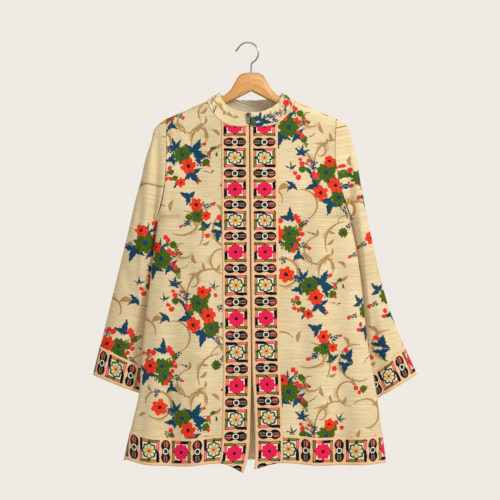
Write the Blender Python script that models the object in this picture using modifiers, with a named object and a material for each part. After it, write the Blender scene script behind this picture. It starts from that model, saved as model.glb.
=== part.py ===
"""Zip-front tunic jacket of printed cloth with ribbon trim, hung on a wooden hanger.

Blender 4.5, metres, +Z up. The front faces -Y and the origin is the inside top of the hanger's hook.
Left and right are the wearer's, so the right side lies at -X. Across the jacket, sizes are measured
from the hook's shaft, which stands SHAFT_OFFSET from the origin.
"""

import math
from collections import namedtuple

import bmesh
import bpy
import numpy as np

# Cloth, ribbon and the gaps between pieces
WALL = 0.0015
RIBBON_WALL = 0.0012
RIBBON_WIDTH = 0.058
SEAM_GAP = 0.0003
HALF_SEAM = 0.0005
ARMHOLE_GAP = 0.0008
UNDERARM_GAP = 0.0028
COLLAR_GAP = 0.0012

# Neck, shoulders and armholes
NECK_HALF = 0.0985
NECK_HEIGHT = -0.1295
FRONT_NECK_DROP = 0.0595
BACK_NECK_DROP = 0.021
SHOULDER_SLOPE = 0.45
SHOULDER_HALF = 0.187
SHOULDER_ROUND = 0.022
TIP_HEIGHT = NECK_HEIGHT - (SHOULDER_HALF - NECK_HALF) * SHOULDER_SLOPE
UNDERARM_HEIGHT = -0.386
ARMHOLE_HALF = (TIP_HEIGHT - UNDERARM_HEIGHT) / 2
ARMHOLE_DEPTH = 0.020
ARMHOLE_FULLNESS = 0.6
ARMHOLE_REACH = 5

# Where the body's section fills out above the underarm, and where its folds fade before an edge
CHEST_BLEND = 0.16
SIDE_FADE_SHARE = 0.12
SEAM_FADE_SHARE = 0.2
OPENING_FADE = (0.018, 0.078)

# Drops below the shoulder's tip of the rows that round the armhole
ARMHOLE_DROPS = [0.0, 0.0006, 0.004, 0.013, 0.032, 0.062, 0.100, 0.140, 0.175, 0.200, 0.2125]
ROWS_BELOW_ARMHOLE = 7
HEM_WIDTH = 0.28

# Collar
COLLAR_HALF = 0.068
COLLAR_FRONT_Y = -0.037
COLLAR_BACK_Y = 0.020
COLLAR_SIDE_TOP = -0.110
COLLAR_FRONT_DIP = 0.047
COLLAR_BACK_DIP = 0.015
COLLAR_END_RIGHT = -0.0114
COLLAR_END_LEFT = -0.0016
COLLAR_ROWS = 3

# Zip
ZIP_BOTTOM = -0.722
ZIP_TOP = -0.160
ZIP_HALF = 0.008
ZIP_WALL = 0.0010
ZIP_GAP = 0.0008
ZIP_ROWS = 16
SLIDER_X = -0.0065
SLIDER_Z = -0.1645
SLIDER_WIDTH = 0.008
SLIDER_DEPTH = 0.0035
SLIDER_HEIGHT = 0.012
SLIDER_ROUNDING = 0.0008
BRIDGE_RADIUS = 0.0030
BRIDGE_WIRE = 0.0006
PULL_PIVOT_REACH = 0.0012
PULL_WIDTH = 0.0062
PULL_LENGTH = 0.0175
PULL_WALL = 0.0011
PULL_EYE_WIDTH = 0.0030
PULL_EYE_LENGTH = 0.0040
PULL_SHOULDER = 0.0020

# Hanger
SHAFT_OFFSET = 0.007
HOOK_WIRE = 0.0018
HOOK_RADIUS = 0.0235
HOOK_CENTRE_X = -0.0075
HOOK_TIP = (-0.0345, -0.0185)
HOOK_START_DEGREES = 150
HOOK_SWEEP_DEGREES = 210
HOOK_STEPS = 18
HOOK_TO_SHAFT = [(0.0012, -0.0445), (0.0001, -0.0485), (0.0, -0.0646)]
HANGER_THICKNESS = 0.015
HANGER_FORWARD = 0.012
HANGER_ROUNDING = 0.0062
HANGER_END_RADIUS = 0.0125
MITRE_GAP = 0.0003

# The body from hem to shoulder: how far the side edges stand from the middle, the y of the cloth's
# middle and of its side edges, how far front and back stand off it, and how square the section is
Section = namedtuple("Section", "height right left mid_y side_y front back squareness")
BODY = [
    Section(-0.950, 0.2840, 0.2975, -0.016, -0.035, 0.052, 0.040, 2.4),
    Section(-0.921, 0.2790, 0.2945, -0.016, -0.035, 0.052, 0.040, 2.4),
    Section(-0.844, 0.2620, 0.2845, -0.015, -0.034, 0.050, 0.038, 2.4),
    Section(-0.771, 0.2460, 0.2745, -0.014, -0.033, 0.048, 0.037, 2.4),
    Section(-0.657, 0.2370, 0.2550, -0.013, -0.030, 0.045, 0.036, 2.3),
    Section(-0.569, 0.2270, 0.2460, -0.012, -0.027, 0.042, 0.034, 2.2),
    Section(-0.485, 0.2170, 0.2360, -0.010, -0.023, 0.040, 0.032, 2.1),
    Section(-0.386, 0.2040, 0.2160, -0.008, -0.018, 0.038, 0.030, 2.0),
    Section(-0.349, 0.1950, 0.2040, -0.006, -0.017, 0.038, 0.029, 2.0),
    Section(-0.305, 0.1885, 0.1920, -0.005, -0.016, 0.039, 0.029, 2.0),
    Section(-0.239, 0.1860, 0.1840, -0.002, -0.014, 0.042, 0.029, 1.9),
    Section(TIP_HEIGHT, SHOULDER_HALF, SHOULDER_HALF, 0.0, -0.012, 0.045, 0.030, 1.9),
    Section(-0.100, SHOULDER_HALF, SHOULDER_HALF, 0.0, -0.012, 0.045, 0.030, 1.9),
]

# The edges of the two fronts, which part below the zip
Edge = namedtuple("Edge", "height right left")
OPENING = [
    Edge(-0.950, -0.0200, 0.0050),
    Edge(-0.930, -0.0120, 0.0070),
    Edge(-0.900, -0.0055, 0.0090),
    Edge(-0.860, -0.0028, 0.0086),
    Edge(-0.790, -0.0015, 0.0060),
    Edge(-0.722, -0.0005, 0.0028),
    Edge(-0.570, -0.0020, 0.0008),
    Edge(-0.380, -0.0040, -0.0012),
    Edge(-0.150, -0.0054, -0.0026),
]

# The hem's height from the opening (share 0) to the side seam (share 1)
Hem = namedtuple("Hem", "share right left back")
HEM = [
    Hem(0.00, -0.9440, -0.9360, -0.9270),
    Hem(0.21, -0.9235, -0.9225, -0.9270),
    Hem(0.55, -0.9300, -0.9280, -0.9265),
    Hem(0.80, -0.9270, -0.9275, -0.9250),
    Hem(1.00, -0.9165, -0.9250, -0.9210),
]

# A sleeve's outer and inner edges in the front view, from the armhole to the cuff
Rung = namedtuple("Rung", "outer_x outer_z inner_x inner_z")
SLEEVES = {
    "right": [
        Rung(SHOULDER_HALF, TIP_HEIGHT, 0.2040, UNDERARM_HEIGHT),
        Rung(0.2040, -0.1815, 0.2066, -0.3900),
        Rung(0.2140, -0.1947, 0.2085, -0.3970),
        Rung(0.2193, -0.2167, 0.2115, -0.4100),
        Rung(0.2336, -0.2607, 0.2155, -0.4330),
        Rung(0.2435, -0.3047, 0.2195, -0.4570),
        Rung(0.2556, -0.3487, 0.2235, -0.4830),
        Rung(0.2710, -0.4147, 0.2290, -0.5250),
        Rung(0.2875, -0.4807, 0.2330, -0.5710),
        Rung(0.3095, -0.5687, 0.2345, -0.6360),
        Rung(0.3315, -0.6567, 0.2320, -0.7030),
        Rung(0.3500, -0.7315, 0.2170, -0.7820),
    ],
    "left": [
        Rung(SHOULDER_HALF, TIP_HEIGHT, 0.2160, UNDERARM_HEIGHT),
        Rung(0.2075, -0.1815, 0.2190, -0.3905),
        Rung(0.2160, -0.1947, 0.2215, -0.3975),
        Rung(0.2218, -0.2167, 0.2255, -0.4100),
        Rung(0.2328, -0.2607, 0.2325, -0.4350),
        Rung(0.2405, -0.3047, 0.2385, -0.4600),
        Rung(0.2490, -0.3487, 0.2435, -0.4870),
        Rung(0.2625, -0.4147, 0.2485, -0.5300),
        Rung(0.2768, -0.4807, 0.2515, -0.5780),
        Rung(0.2999, -0.5687, 0.2540, -0.6480),
        Rung(0.3329, -0.6567, 0.2530, -0.7220),
        Rung(0.3680, -0.7290, 0.2396, -0.8060),
    ],
}

# A sleeve's middle, half depth and fullness, from the cuff (share 0) to the armhole (share 1)
Girth = namedtuple("Girth", "share centre_y half_depth fullness")
SLEEVE_GIRTH = [
    Girth(0.00, 0.012, 0.027, 0.90),
    Girth(0.25, 0.006, 0.023, 0.90),
    Girth(0.50, -0.003, 0.020, 0.85),
    Girth(0.70, -0.010, 0.020, 0.75),
    Girth(0.90, -0.013, 0.020, 0.65),
    Girth(1.00, -0.015, ARMHOLE_DEPTH, ARMHOLE_FULLNESS),
]
SLEEVE_LENGTH = 0.558
SLEEVE_LEVELS = [0.12, 0.24, 0.36, 0.48, 0.60, 0.71, 0.81, 0.89, 0.95, 1.0]
SLEEVE_SET_IN = 0.28

# The largest folds. Each runs from its top to its bottom point in the front view and stands out of
# the cloth by its depth. A hollow is negative
Fold = namedtuple("Fold", "top_x top_z bottom_x bottom_z half_width top_depth bottom_depth")
FOLDS = {
    "front_right": [
        Fold(-0.105, -0.34, -0.125, -0.95, 0.036, 0.001, 0.011),
        Fold(-0.165, -0.42, -0.180, -0.95, 0.030, -0.003, -0.008),
        Fold(-0.200, -0.50, -0.225, -0.95, 0.030, 0.001, 0.007),
    ],
    "front_left": [
        Fold(0.120, -0.26, 0.118, -0.58, 0.026, -0.004, -0.001),
        Fold(0.148, -0.36, 0.136, -0.95, 0.036, 0.003, 0.009),
        Fold(0.180, -0.40, 0.197, -0.95, 0.034, -0.004, -0.010),
        Fold(0.226, -0.50, 0.246, -0.95, 0.030, 0.001, 0.007),
    ],
    "back": [
        Fold(-0.200, -0.50, -0.228, -0.95, 0.034, 0.001, 0.007),
        Fold(-0.125, -0.34, -0.165, -0.95, 0.038, -0.002, -0.009),
        Fold(-0.075, -0.40, -0.095, -0.95, 0.038, 0.001, 0.009),
        Fold(-0.010, -0.30, -0.020, -0.95, 0.042, -0.002, -0.009),
        Fold(0.070, -0.42, 0.060, -0.95, 0.038, 0.001, 0.010),
        Fold(0.120, -0.34, 0.140, -0.95, 0.038, -0.003, -0.010),
        Fold(0.190, -0.46, 0.215, -0.95, 0.038, 0.001, 0.009),
    ],
    "sleeve_right": [
        Fold(-0.2060, -0.22, -0.2200, -0.45, 0.014, -0.006, -0.007),
        Fold(-0.2240, -0.22, -0.2450, -0.58, 0.015, 0.004, 0.003),
        Fold(-0.2900, -0.55, -0.2750, -0.80, 0.026, 0.001, 0.006),
    ],
    "sleeve_left": [
        Fold(0.2130, -0.21, 0.2370, -0.49, 0.014, -0.007, -0.007),
        Fold(0.2450, -0.30, 0.2900, -0.66, 0.020, 0.003, 0.005),
        Fold(0.2750, -0.52, 0.2850, -0.80, 0.024, -0.004, -0.006),
    ],
}

# The wooden hanger's top and underside at stations out from the shaft, and where it has sections
Station = namedtuple("Station", "reach top underside")
HANGER = [
    Station(0.0, -0.0650, -0.1067),
    Station(0.013, -0.0656, -0.1133),
    Station(0.0257, -0.0710, -0.1197),
    Station(0.036, -0.0870, -0.1249),
    Station(0.0477, -0.1052, -0.1308),
    Station(0.0677, -0.1202, -0.1420),
    Station(0.095, -0.1316, -0.1550),
    Station(0.140, -0.1498, -0.1745),
    Station(0.180, -0.1690, -0.1920),
]
HANGER_SECTIONS = [0, 0.008, 0.015, 0.021, 0.0257, 0.031, 0.036, 0.042, 0.048, 0.058, 0.068]
HANGER_SECTIONS += [0.082, 0.095, 0.118, 0.140, 0.160, 0.180]

Finish = namedtuple("Finish", "colour roughness metallic")
FINISHES = {
    "printed_cloth": Finish((0.72, 0.62, 0.42, 1.0), 0.85, 0.0),
    "ribbon": Finish((0.80, 0.45, 0.33, 1.0), 0.75, 0.0),
    "zip_tape": Finish((0.05, 0.045, 0.045, 1.0), 0.8, 0.0),
    "zip_metal": Finish((0.62, 0.62, 0.63, 1.0), 0.3, 1.0),
    "wood": Finish((0.72, 0.47, 0.22, 1.0), 0.45, 0.0),
    "hook_wire": Finish((0.55, 0.56, 0.58, 1.0), 0.25, 1.0),
}


# Curves through the tables
def smooth_curve(stations, values, at):
    """A smooth line through the values that never overshoots them."""
    x, y = np.asarray(stations, float), np.asarray(values, float)
    steps = np.diff(x)
    slopes = np.diff(y) / steps
    tangents = np.zeros_like(y)
    before, after = slopes[:-1], slopes[1:]
    same_way = before * after > 0
    tangents[1:-1][same_way] = 2 * (before * after)[same_way] / (before + after)[same_way]
    tangents[0], tangents[-1] = slopes[0], slopes[-1]
    at = np.clip(np.asarray(at, float), x[0], x[-1])
    i = np.clip(np.searchsorted(x, at, side="right") - 1, 0, len(steps) - 1)
    t = (at - x[i]) / steps[i]
    value = (1 + 2 * t) * (1 - t) ** 2 * y[i] + t * t * (3 - 2 * t) * y[i + 1]
    return value + steps[i] * t * (1 - t) * ((1 - t) * tangents[i] - t * tangents[i + 1])


def read(table, column, at):
    """A column of a table at any value of its first column."""
    return smooth_curve([row[0] for row in table], [getattr(row, column) for row in table], at)


def ease(t):
    t = np.clip(t, 0.0, 1.0)
    return t * t * (3 - 2 * t)


def fold_height(name, x, z):
    """How far the folds of a piece stand out of it at a point of the front view."""
    total = np.zeros_like(x)
    for fold in FOLDS[name]:
        down = (fold.top_z - z) / (fold.top_z - fold.bottom_z)
        middle = fold.top_x + (fold.bottom_x - fold.top_x) * down
        away = np.clip(np.abs(x - middle) / fold.half_width, 0, 1)
        depth = fold.top_depth + (fold.bottom_depth - fold.top_depth) * np.clip(down, 0, 1)
        faded = ease(down / 0.25 + 0.25) * ease((1.15 - down) / 0.25)
        total += depth * np.cos(away * math.pi / 2) ** 2 * faded
    return total


# The body's form
def shoulder_z(x):
    return NECK_HEIGHT - (np.abs(x) - NECK_HALF) * SHOULDER_SLOPE


def top_z(x, neck_drop):
    """The top edge of a panel: its neckline, then its shoulder seam."""
    inside = np.clip(1 - (x / NECK_HALF) ** 4, 0, 1)
    return np.where(np.abs(x) < NECK_HALF, NECK_HEIGHT - neck_drop * inside, shoulder_z(x))


def armhole_depth(x, z):
    """Half the armhole's depth, which closes at the shoulder seam and at the underarm."""
    seam = shoulder_z(np.minimum(np.abs(x), SHOULDER_HALF))
    cosine = np.clip(2 * (z - UNDERARM_HEIGHT) / (seam - UNDERARM_HEIGHT) - 1, -1, 1)
    return ARMHOLE_DEPTH * np.sqrt(1 - cosine**2) ** ARMHOLE_FULLNESS


def body_y(face, x, z, name):
    """The y of the body's front (face -1) or back (face 1) at a point of the front view."""
    side = np.where(x < 0, read(BODY, "right", z), read(BODY, "left", z))
    out = np.clip(np.abs(x) / side, 0, 1)
    chest = ease((z - UNDERARM_HEIGHT) / CHEST_BLEND)
    drop = np.clip((shoulder_z(x) - z) / SHOULDER_ROUND, 0, 1)
    rounded = np.sqrt(1 - (1 - drop) ** 2)
    section = np.clip(1 - out ** read(BODY, "squareness", z), 0, 1) ** ((1 + chest) / 2)
    depth = read(BODY, "front" if face < 0 else "back", z) * rounded * section
    depth = np.maximum(depth + armhole_depth(x, z) * out**ARMHOLE_REACH, HALF_SEAM)
    middle = read(BODY, "mid_y", z) * (1 - out**2) + read(BODY, "side_y", z) * out**2
    clear_of_seams = ease((1 - out) / SIDE_FADE_SHARE) * ease(drop - SEAM_FADE_SHARE)
    if face < 0:
        start, end = OPENING_FADE
        clear_of_seams = clear_of_seams * ease((np.abs(x) - start) / (end - start))
    return middle + face * (depth + fold_height(name, x, z) * clear_of_seams)


def panel_rows(hem_at_side):
    """Rows of a panel from the hem up, as (metres, share of what lies above the ribbon)."""
    length = TIP_HEIGHT - hem_at_side - RIBBON_WIDTH
    to_underarm = (UNDERARM_HEIGHT - hem_at_side - RIBBON_WIDTH) / length
    ribbon = [(RIBBON_WIDTH * k / 3, 0.0) for k in range(4)]
    count = ROWS_BELOW_ARMHOLE
    lower = [(RIBBON_WIDTH, to_underarm * k / count) for k in range(1, count + 1)]
    upper = [(RIBBON_WIDTH, 1 - drop / length) for drop in reversed(ARMHOLE_DROPS)]
    return np.array(ribbon + lower + upper)


def past_neck(neck):
    """Columns between the neck and the shoulder's tip, as shares of the panel."""
    return [neck + (1 - neck) * share for share in (0.16, 0.33, 0.5, 0.66, 0.81, 0.92, 0.992, 1.0)]


def front_columns(opening_top):
    """Columns of a front from its opening out, as (metres, share of what lies past the ribbon)."""
    split = SEAM_GAP / 2
    ribbon = [RIBBON_WIDTH * k / 3 for k in range(3)] + [RIBBON_WIDTH - split, RIBBON_WIDTH + split]
    width = SHOULDER_HALF - opening_top - RIBBON_WIDTH
    neck = (NECK_HALF - opening_top - RIBBON_WIDTH) / width
    shares = [neck * share for share in (0.32, 0.62, 0.83, 0.935, 0.98, 1.0)] + past_neck(neck)
    return np.array([(reach, 0.0) for reach in ribbon] + [(RIBBON_WIDTH, share) for share in shares])


def front_points(side):
    """Points of a front as an array of rows from the hem up by columns from the opening out."""
    sign = -1 if side == "right" else 1
    opening_top = sign * float(read(OPENING, side, NECK_HEIGHT - FRONT_NECK_DROP))
    metres, shares = front_columns(opening_top).T
    up, rise = panel_rows(float(read(HEM, side, 1.0))).T[:, :, None]
    x_top = opening_top + metres + shares * (SHOULDER_HALF - opening_top - RIBBON_WIDTH)
    hem = read(HEM, side, (metres + shares * (HEM_WIDTH - RIBBON_WIDTH)) / HEM_WIDTH)
    z = hem + up + rise * (top_z(x_top, FRONT_NECK_DROP) - hem - RIBBON_WIDTH)
    opening = sign * read(OPENING, side, z)
    x = sign * (opening + metres + shares * (read(BODY, side, z) - opening - RIBBON_WIDTH))
    return np.stack([x, body_y(-1, x, z, "front_" + side), z], axis=-1)


def back_points():
    """Points of the back as an array of rows from the hem up by columns from left to right."""
    neck = NECK_HALF / SHOULDER_HALF
    half = [neck * share for share in (0.27, 0.52, 0.73, 0.87, 0.95, 0.985, 1.0)] + past_neck(neck)
    shares = np.array(half[::-1] + [0.0] + [-share for share in half])
    up, rise = panel_rows(float(read(HEM, "back", 1.0))).T[:, :, None]
    hem = read(HEM, "back", np.abs(shares))
    z = hem + up + rise * (top_z(shares * SHOULDER_HALF, BACK_NECK_DROP) - hem - RIBBON_WIDTH)
    x = shares * np.where(shares < 0, read(BODY, "right", z), read(BODY, "left", z))
    return np.stack([x, body_y(1, x, z, "back"), z], axis=-1)


# The sleeves' form
def sleeve_edge(side, names, metres, shares):
    """The x and z of a sleeve's outer or inner edge at levels up from the cuff."""
    corners = np.array([[getattr(rung, name) for name in names] for rung in reversed(SLEEVES[side])])
    lengths = np.append(0, np.cumsum(np.linalg.norm(np.diff(corners, axis=0), axis=1)))
    distance = metres + shares * (lengths[-1] - RIBBON_WIDTH)
    return [smooth_curve(lengths, corners[:, k], distance) for k in (0, 1)]


def sleeve_points(side):
    """Points of a sleeve as an array of levels from the cuff up by columns round it."""
    sign = -1 if side == "right" else 1
    ribbon = [(RIBBON_WIDTH * k / 3, 0.0) for k in range(4)]
    levels = np.array(ribbon + [(RIBBON_WIDTH, share) for share in SLEEVE_LEVELS])
    metres, shares = levels.T[:, :, None]
    front = [math.acos(1 - drop / ARMHOLE_HALF) for drop in ARMHOLE_DROPS] + [math.pi]
    turn = np.array(front + [2 * math.pi - angle for angle in front[-2:0:-1]])[None, :]
    face = np.where(turn < math.pi, -1.0, 1.0)
    outer_x, outer_z = sleeve_edge(side, ("outer_x", "outer_z"), metres, shares)
    inner_x, inner_z = sleeve_edge(side, ("inner_x", "inner_z"), metres, shares)
    out, round_share = (1 + np.cos(turn)) / 2, np.abs(np.sin(turn))
    x = sign * (inner_x + (outer_x - inner_x) * out)
    z = inner_z + (outer_z - inner_z) * out
    up = (metres + shares * (SLEEVE_LENGTH - RIBBON_WIDTH)) / SLEEVE_LENGTH
    depth = read(SLEEVE_GIRTH, "half_depth", up) * round_share ** read(SLEEVE_GIRTH, "fullness", up)
    folds = fold_height("sleeve_" + side, x, z) * ease(round_share * 2) * ease(8 - shares * 8)
    y = read(SLEEVE_GIRTH, "centre_y", up) + face * (depth + folds)
    # Towards its top the sleeve eases onto the armhole of the body's panels
    armhole_z = UNDERARM_HEIGHT + 2 * ARMHOLE_HALF * out
    gap = ARMHOLE_GAP + (UNDERARM_GAP - ARMHOLE_GAP) * ease(1 - out * 2)
    straight = SLEEVES[side][0].inner_x * (1 - out) + SHOULDER_HALF * out
    inset = read(BODY, side, armhole_z) + gap - straight
    shift = read(BODY, "side_y", armhole_z) - SLEEVE_GIRTH[-1].centre_y
    near = ease((shares - 1 + SLEEVE_SET_IN) / SLEEVE_SET_IN)
    points = np.stack([x + near * sign * inset, y + near * shift, z], axis=-1)
    return points if side == "right" else points[:, ::-1]


# Meshes and objects
def sheet_mesh(name, points, tube=False):
    """A grid of quads through an array of points. A tube's last column meets its first."""
    if tube:
        points = np.concatenate([points, points[:, :1]], axis=1)
    rows, columns = points.shape[:2]
    built = bmesh.new()
    bmesh.ops.create_grid(built, x_segments=columns - 1, y_segments=rows - 1, size=1.0)
    for vertex in built.verts:
        column = round((vertex.co.x + 1) / 2 * (columns - 1))
        row = round((vertex.co.y + 1) / 2 * (rows - 1))
        vertex.co = points[row, column]
    bmesh.ops.remove_doubles(built, verts=built.verts, dist=0.00001)
    mesh = bpy.data.meshes.new(name)
    built.to_mesh(mesh)
    built.free()
    return mesh


def moved_out(points, distance, tube=False):
    """The points moved along the cloth's outward normals."""
    padded = np.concatenate([points[:, -1:], points, points[:, :1]], axis=1) if tube else points
    normals = np.cross(np.gradient(padded, axis=1), np.gradient(padded, axis=0))
    normals /= np.linalg.norm(normals, axis=-1, keepdims=True)
    return points + distance * (normals[:, 1:-1] if tube else normals)


def add_object(name, data, material):
    piece = bpy.data.objects.new(name, data)
    piece.data.materials.append(material)
    piece.parent = bpy.data.objects["shaft"]
    bpy.data.collections["tunic_jacket_on_hanger"].objects.link(piece)
    return piece


def add_cloth(name, points, material, wall, tube=False):
    piece = add_object(name, sheet_mesh(name, points, tube), material)
    solid = piece.modifiers.new("Wall", "SOLIDIFY")
    solid.thickness = wall
    solid.offset = 0.0
    solid.use_even_offset = True


def make_front(side, materials):
    """A front with its ribbons. Returns its points, from the opening out."""
    points = front_points(side)
    order = 1 if side == "left" else -1
    add_cloth("front_" + side, points[:, ::order], materials["printed_cloth"], WALL)
    lifted = moved_out(points[:, ::order], WALL / 2 + SEAM_GAP + RIBBON_WALL / 2)[:, ::order]
    upright, along_hem = lifted[:, :4], lifted[:4, 4:]
    add_cloth("front_ribbon_" + side, upright[:, ::order], materials["ribbon"], RIBBON_WALL)
    add_cloth("hem_ribbon_" + side, along_hem[:, ::order], materials["ribbon"], RIBBON_WALL)
    return points


def make_back(materials):
    """The back with its hem ribbon. Returns its points, from left to right."""
    points = back_points()
    add_cloth("back", points, materials["printed_cloth"], WALL)
    lifted = moved_out(points, WALL / 2 + SEAM_GAP + RIBBON_WALL / 2)
    add_cloth("hem_ribbon_back", lifted[:4], materials["ribbon"], RIBBON_WALL)
    return points


def make_sleeve(side, materials):
    points = sleeve_points(side)
    add_cloth("sleeve_" + side, points, materials["printed_cloth"], WALL, tube=True)
    lifted = moved_out(points, WALL / 2 + SEAM_GAP + RIBBON_WALL / 2, tube=True)
    add_cloth("cuff_ribbon_" + side, lifted[:4], materials["ribbon"], RIBBON_WALL, tube=True)


def neckline(points, reach):
    """The part of a panel's top edge that lies within a reach of the middle."""
    top = points[-1]
    return top[np.abs(top[:, 0]) < reach]


def collar_top(across, face):
    """Points of the collar's top edge. across runs from -1 at the right to 1 at the left."""
    deep = np.sqrt(np.clip(1 - across**2, 0, 1))
    y, dip = (COLLAR_FRONT_Y, COLLAR_FRONT_DIP) if face < 0 else (COLLAR_BACK_Y, COLLAR_BACK_DIP)
    return np.stack([across * COLLAR_HALF, y * deep, COLLAR_SIDE_TOP - dip * deep], axis=-1)


def collar_points(right, back, left):
    """The collar from its seam up, and from its right end round the back to its left end."""
    margin = 0.0008
    seams, tops = [], []
    for panel, face, end in ((right, -1, COLLAR_END_RIGHT), (back, 1, 0.0), (left, -1, COLLAR_END_LEFT)):
        seam = neckline(panel, NECK_HALF + (margin if face < 0 else -margin))
        across = seam[:, 0] / NECK_HALF
        if face < 0:
            across = across + (end / COLLAR_HALF - across[0]) * (1 - np.abs(across))
        top = collar_top(np.clip(across, -1, 1), face)
        backwards = panel is not right
        seams.append(seam[::-1] if backwards else seam)
        tops.append(top[::-1] if backwards else top)
    seam, top = np.concatenate(seams), np.concatenate(tops)
    way = (top - seam) / np.linalg.norm(top - seam, axis=1, keepdims=True)
    start = seam + way * COLLAR_GAP
    return np.stack([start + (top - start) * k / COLLAR_ROWS for k in range(COLLAR_ROWS + 1)])


def centre_front_y(front, collar, at):
    """The y of the cloth down the centre front, over the right front and the collar's right end."""
    heights = np.append(front[:, 0, 2], collar[1:, 0, 2])
    depths = np.append(front[:, 0, 1], collar[1:, 0, 1])
    return np.interp(at, heights, depths)


def make_zip(front, collar, materials):
    """The zip's tapes and chain as one strip behind the edges of the fronts and of the collar."""
    levels = np.linspace(ZIP_BOTTOM, ZIP_TOP, ZIP_ROWS + 1)
    y = centre_front_y(front, collar, levels) + WALL / 2 + ZIP_GAP + ZIP_WALL / 2
    middle = (read(OPENING, "right", levels) + read(OPENING, "left", levels)) / 2
    collar_foot = NECK_HEIGHT - FRONT_NECK_DROP
    middle += ease((levels - collar_foot) / (ZIP_TOP - collar_foot)) * (SLIDER_X - middle)
    points = np.stack([np.stack([middle + x, y, levels], axis=-1) for x in (-ZIP_HALF, ZIP_HALF)], axis=1)
    add_cloth("zip", points, materials["zip_tape"], ZIP_WALL)


def wire_object(name, route, radius, resolution, material):
    """A round wire along a route of points."""
    curve = bpy.data.curves.new(name, "CURVE")
    curve.dimensions = "3D"
    curve.bevel_depth = radius
    curve.bevel_resolution = resolution
    curve.use_fill_caps = True
    spline = curve.splines.new("POLY")
    spline.points.add(len(route) - 1)
    for point, place in zip(spline.points, route):
        point.co = (*place, 1.0)
    return add_object(name, curve, material)


def as_cutter(wire):
    """A wire turned into a welded mesh object among the cutters."""
    bpy.context.view_layer.update()
    mesh = bpy.data.meshes.new_from_object(wire.evaluated_get(bpy.context.evaluated_depsgraph_get()))
    built = bmesh.new()
    built.from_mesh(mesh)
    bmesh.ops.remove_doubles(built, verts=built.verts, dist=0.00001)
    bmesh.ops.recalc_face_normals(built, faces=built.faces)
    built.to_mesh(mesh)
    built.free()
    solid = bpy.data.objects.new(wire.name + "_solid", mesh)
    solid.matrix_world = wire.matrix_world
    bpy.data.objects.remove(wire)
    bpy.data.collections["tunic_jacket_cutters"].objects.link(solid)
    solid.hide_render = True
    solid.display_type = "WIRE"
    return solid


def make_slider(y, materials):
    """The zip's slider: a rounded body with a bridge on its front for the pull."""
    built = bmesh.new()
    bmesh.ops.create_cube(built, size=1.0)
    bmesh.ops.scale(built, vec=(SLIDER_WIDTH, SLIDER_DEPTH, SLIDER_HEIGHT), verts=built.verts)
    bmesh.ops.bevel(
        built,
        geom=built.edges[:],
        offset=SLIDER_ROUNDING,
        segments=2,
        profile=0.5,
        affect="EDGES",
        material=-1,
    )
    bmesh.ops.translate(built, vec=(SLIDER_X, y, SLIDER_Z), verts=built.verts)
    body = bpy.data.meshes.new("zip_slider")
    built.to_mesh(body)
    built.free()
    slider = add_object("zip_slider", body, materials["zip_metal"])
    front = y - SLIDER_DEPTH / 2
    foot = front + BRIDGE_WIRE
    turns = [math.pi * k / 8 for k in range(9)]
    arch = [(front - BRIDGE_RADIUS * math.sin(a), SLIDER_Z + BRIDGE_RADIUS * math.cos(a)) for a in turns]
    arch = [(foot, arch[0][1])] + arch + [(foot, arch[-1][1])]
    route = [(SLIDER_X, reach, height) for reach, height in arch]
    bridge = wire_object("zip_bridge", route, BRIDGE_WIRE, 1, materials["zip_metal"])
    joined = slider.modifiers.new("Bridge", "BOOLEAN")
    joined.operation = "UNION"
    joined.object = as_cutter(bridge)


def make_pull(slider_y, materials):
    """The zip's pull tab, with its origin on the hinge that its upper bar makes in the bridge."""
    bar = PULL_WALL / 2
    half, eye = PULL_WIDTH / 2, PULL_EYE_WIDTH / 2
    corner = PULL_LENGTH - half / 2
    right_side = [(half * 0.6, -PULL_LENGTH), (half, -corner), (half, -PULL_SHOULDER), (half * 0.7, bar)]
    outline = right_side + [(-across, up) for across, up in reversed(right_side)]
    eye_foot = -bar - PULL_EYE_LENGTH
    hole = [(-eye, -bar), (eye, -bar), (eye, eye_foot), (-eye, eye_foot)]
    curve = bpy.data.curves.new("zip_pull", "CURVE")
    curve.dimensions = "2D"
    curve.fill_mode = "BOTH"
    curve.extrude = PULL_WALL / 2
    for loop in (outline, hole):
        spline = curve.splines.new("POLY")
        spline.points.add(len(loop) - 1)
        spline.use_cyclic_u = True
        for point, (across, up) in zip(spline.points, loop):
            point.co = (across, up, 0.0, 1.0)
    pull = add_object("zip_pull", curve, materials["zip_metal"])
    pull.rotation_euler.x = math.pi / 2
    pull.location = (SLIDER_X, slider_y - SLIDER_DEPTH / 2 - PULL_PIVOT_REACH, SLIDER_Z)


def hanger_section(sign, reach, share):
    """One upright section of a hanger arm, a box with round corners, shrunk towards the arm's end."""
    top, underside = float(read(HANGER, "top", reach)), float(read(HANGER, "underside", reach))
    past_end = max(reach - HANGER[-1].reach, 0)
    middle_z = (top + underside) / 2 - past_end * SHOULDER_SLOPE
    middle_y = -HANGER_FORWARD * (reach / SHOULDER_HALF) ** 2
    tall = (top - underside) / 2 * share
    deep = HANGER_THICKNESS / 2 * (0.55 + 0.45 * share)
    round_y, round_z = min(HANGER_ROUNDING, deep * 0.8), min(HANGER_ROUNDING, tall * 0.8)
    ring = []
    for quarter, (along, upward) in enumerate([(1, 1), (-1, 1), (-1, -1), (1, -1)]):
        for k in range(3):
            angle = math.pi / 2 * (quarter + k / 2)
            y = middle_y + along * (deep - round_y) + round_y * math.cos(angle)
            z = middle_z + upward * (tall - round_z) + round_z * math.sin(angle)
            ring.append((sign * (reach + MITRE_GAP / 2), y, z))
    return ring


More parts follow.
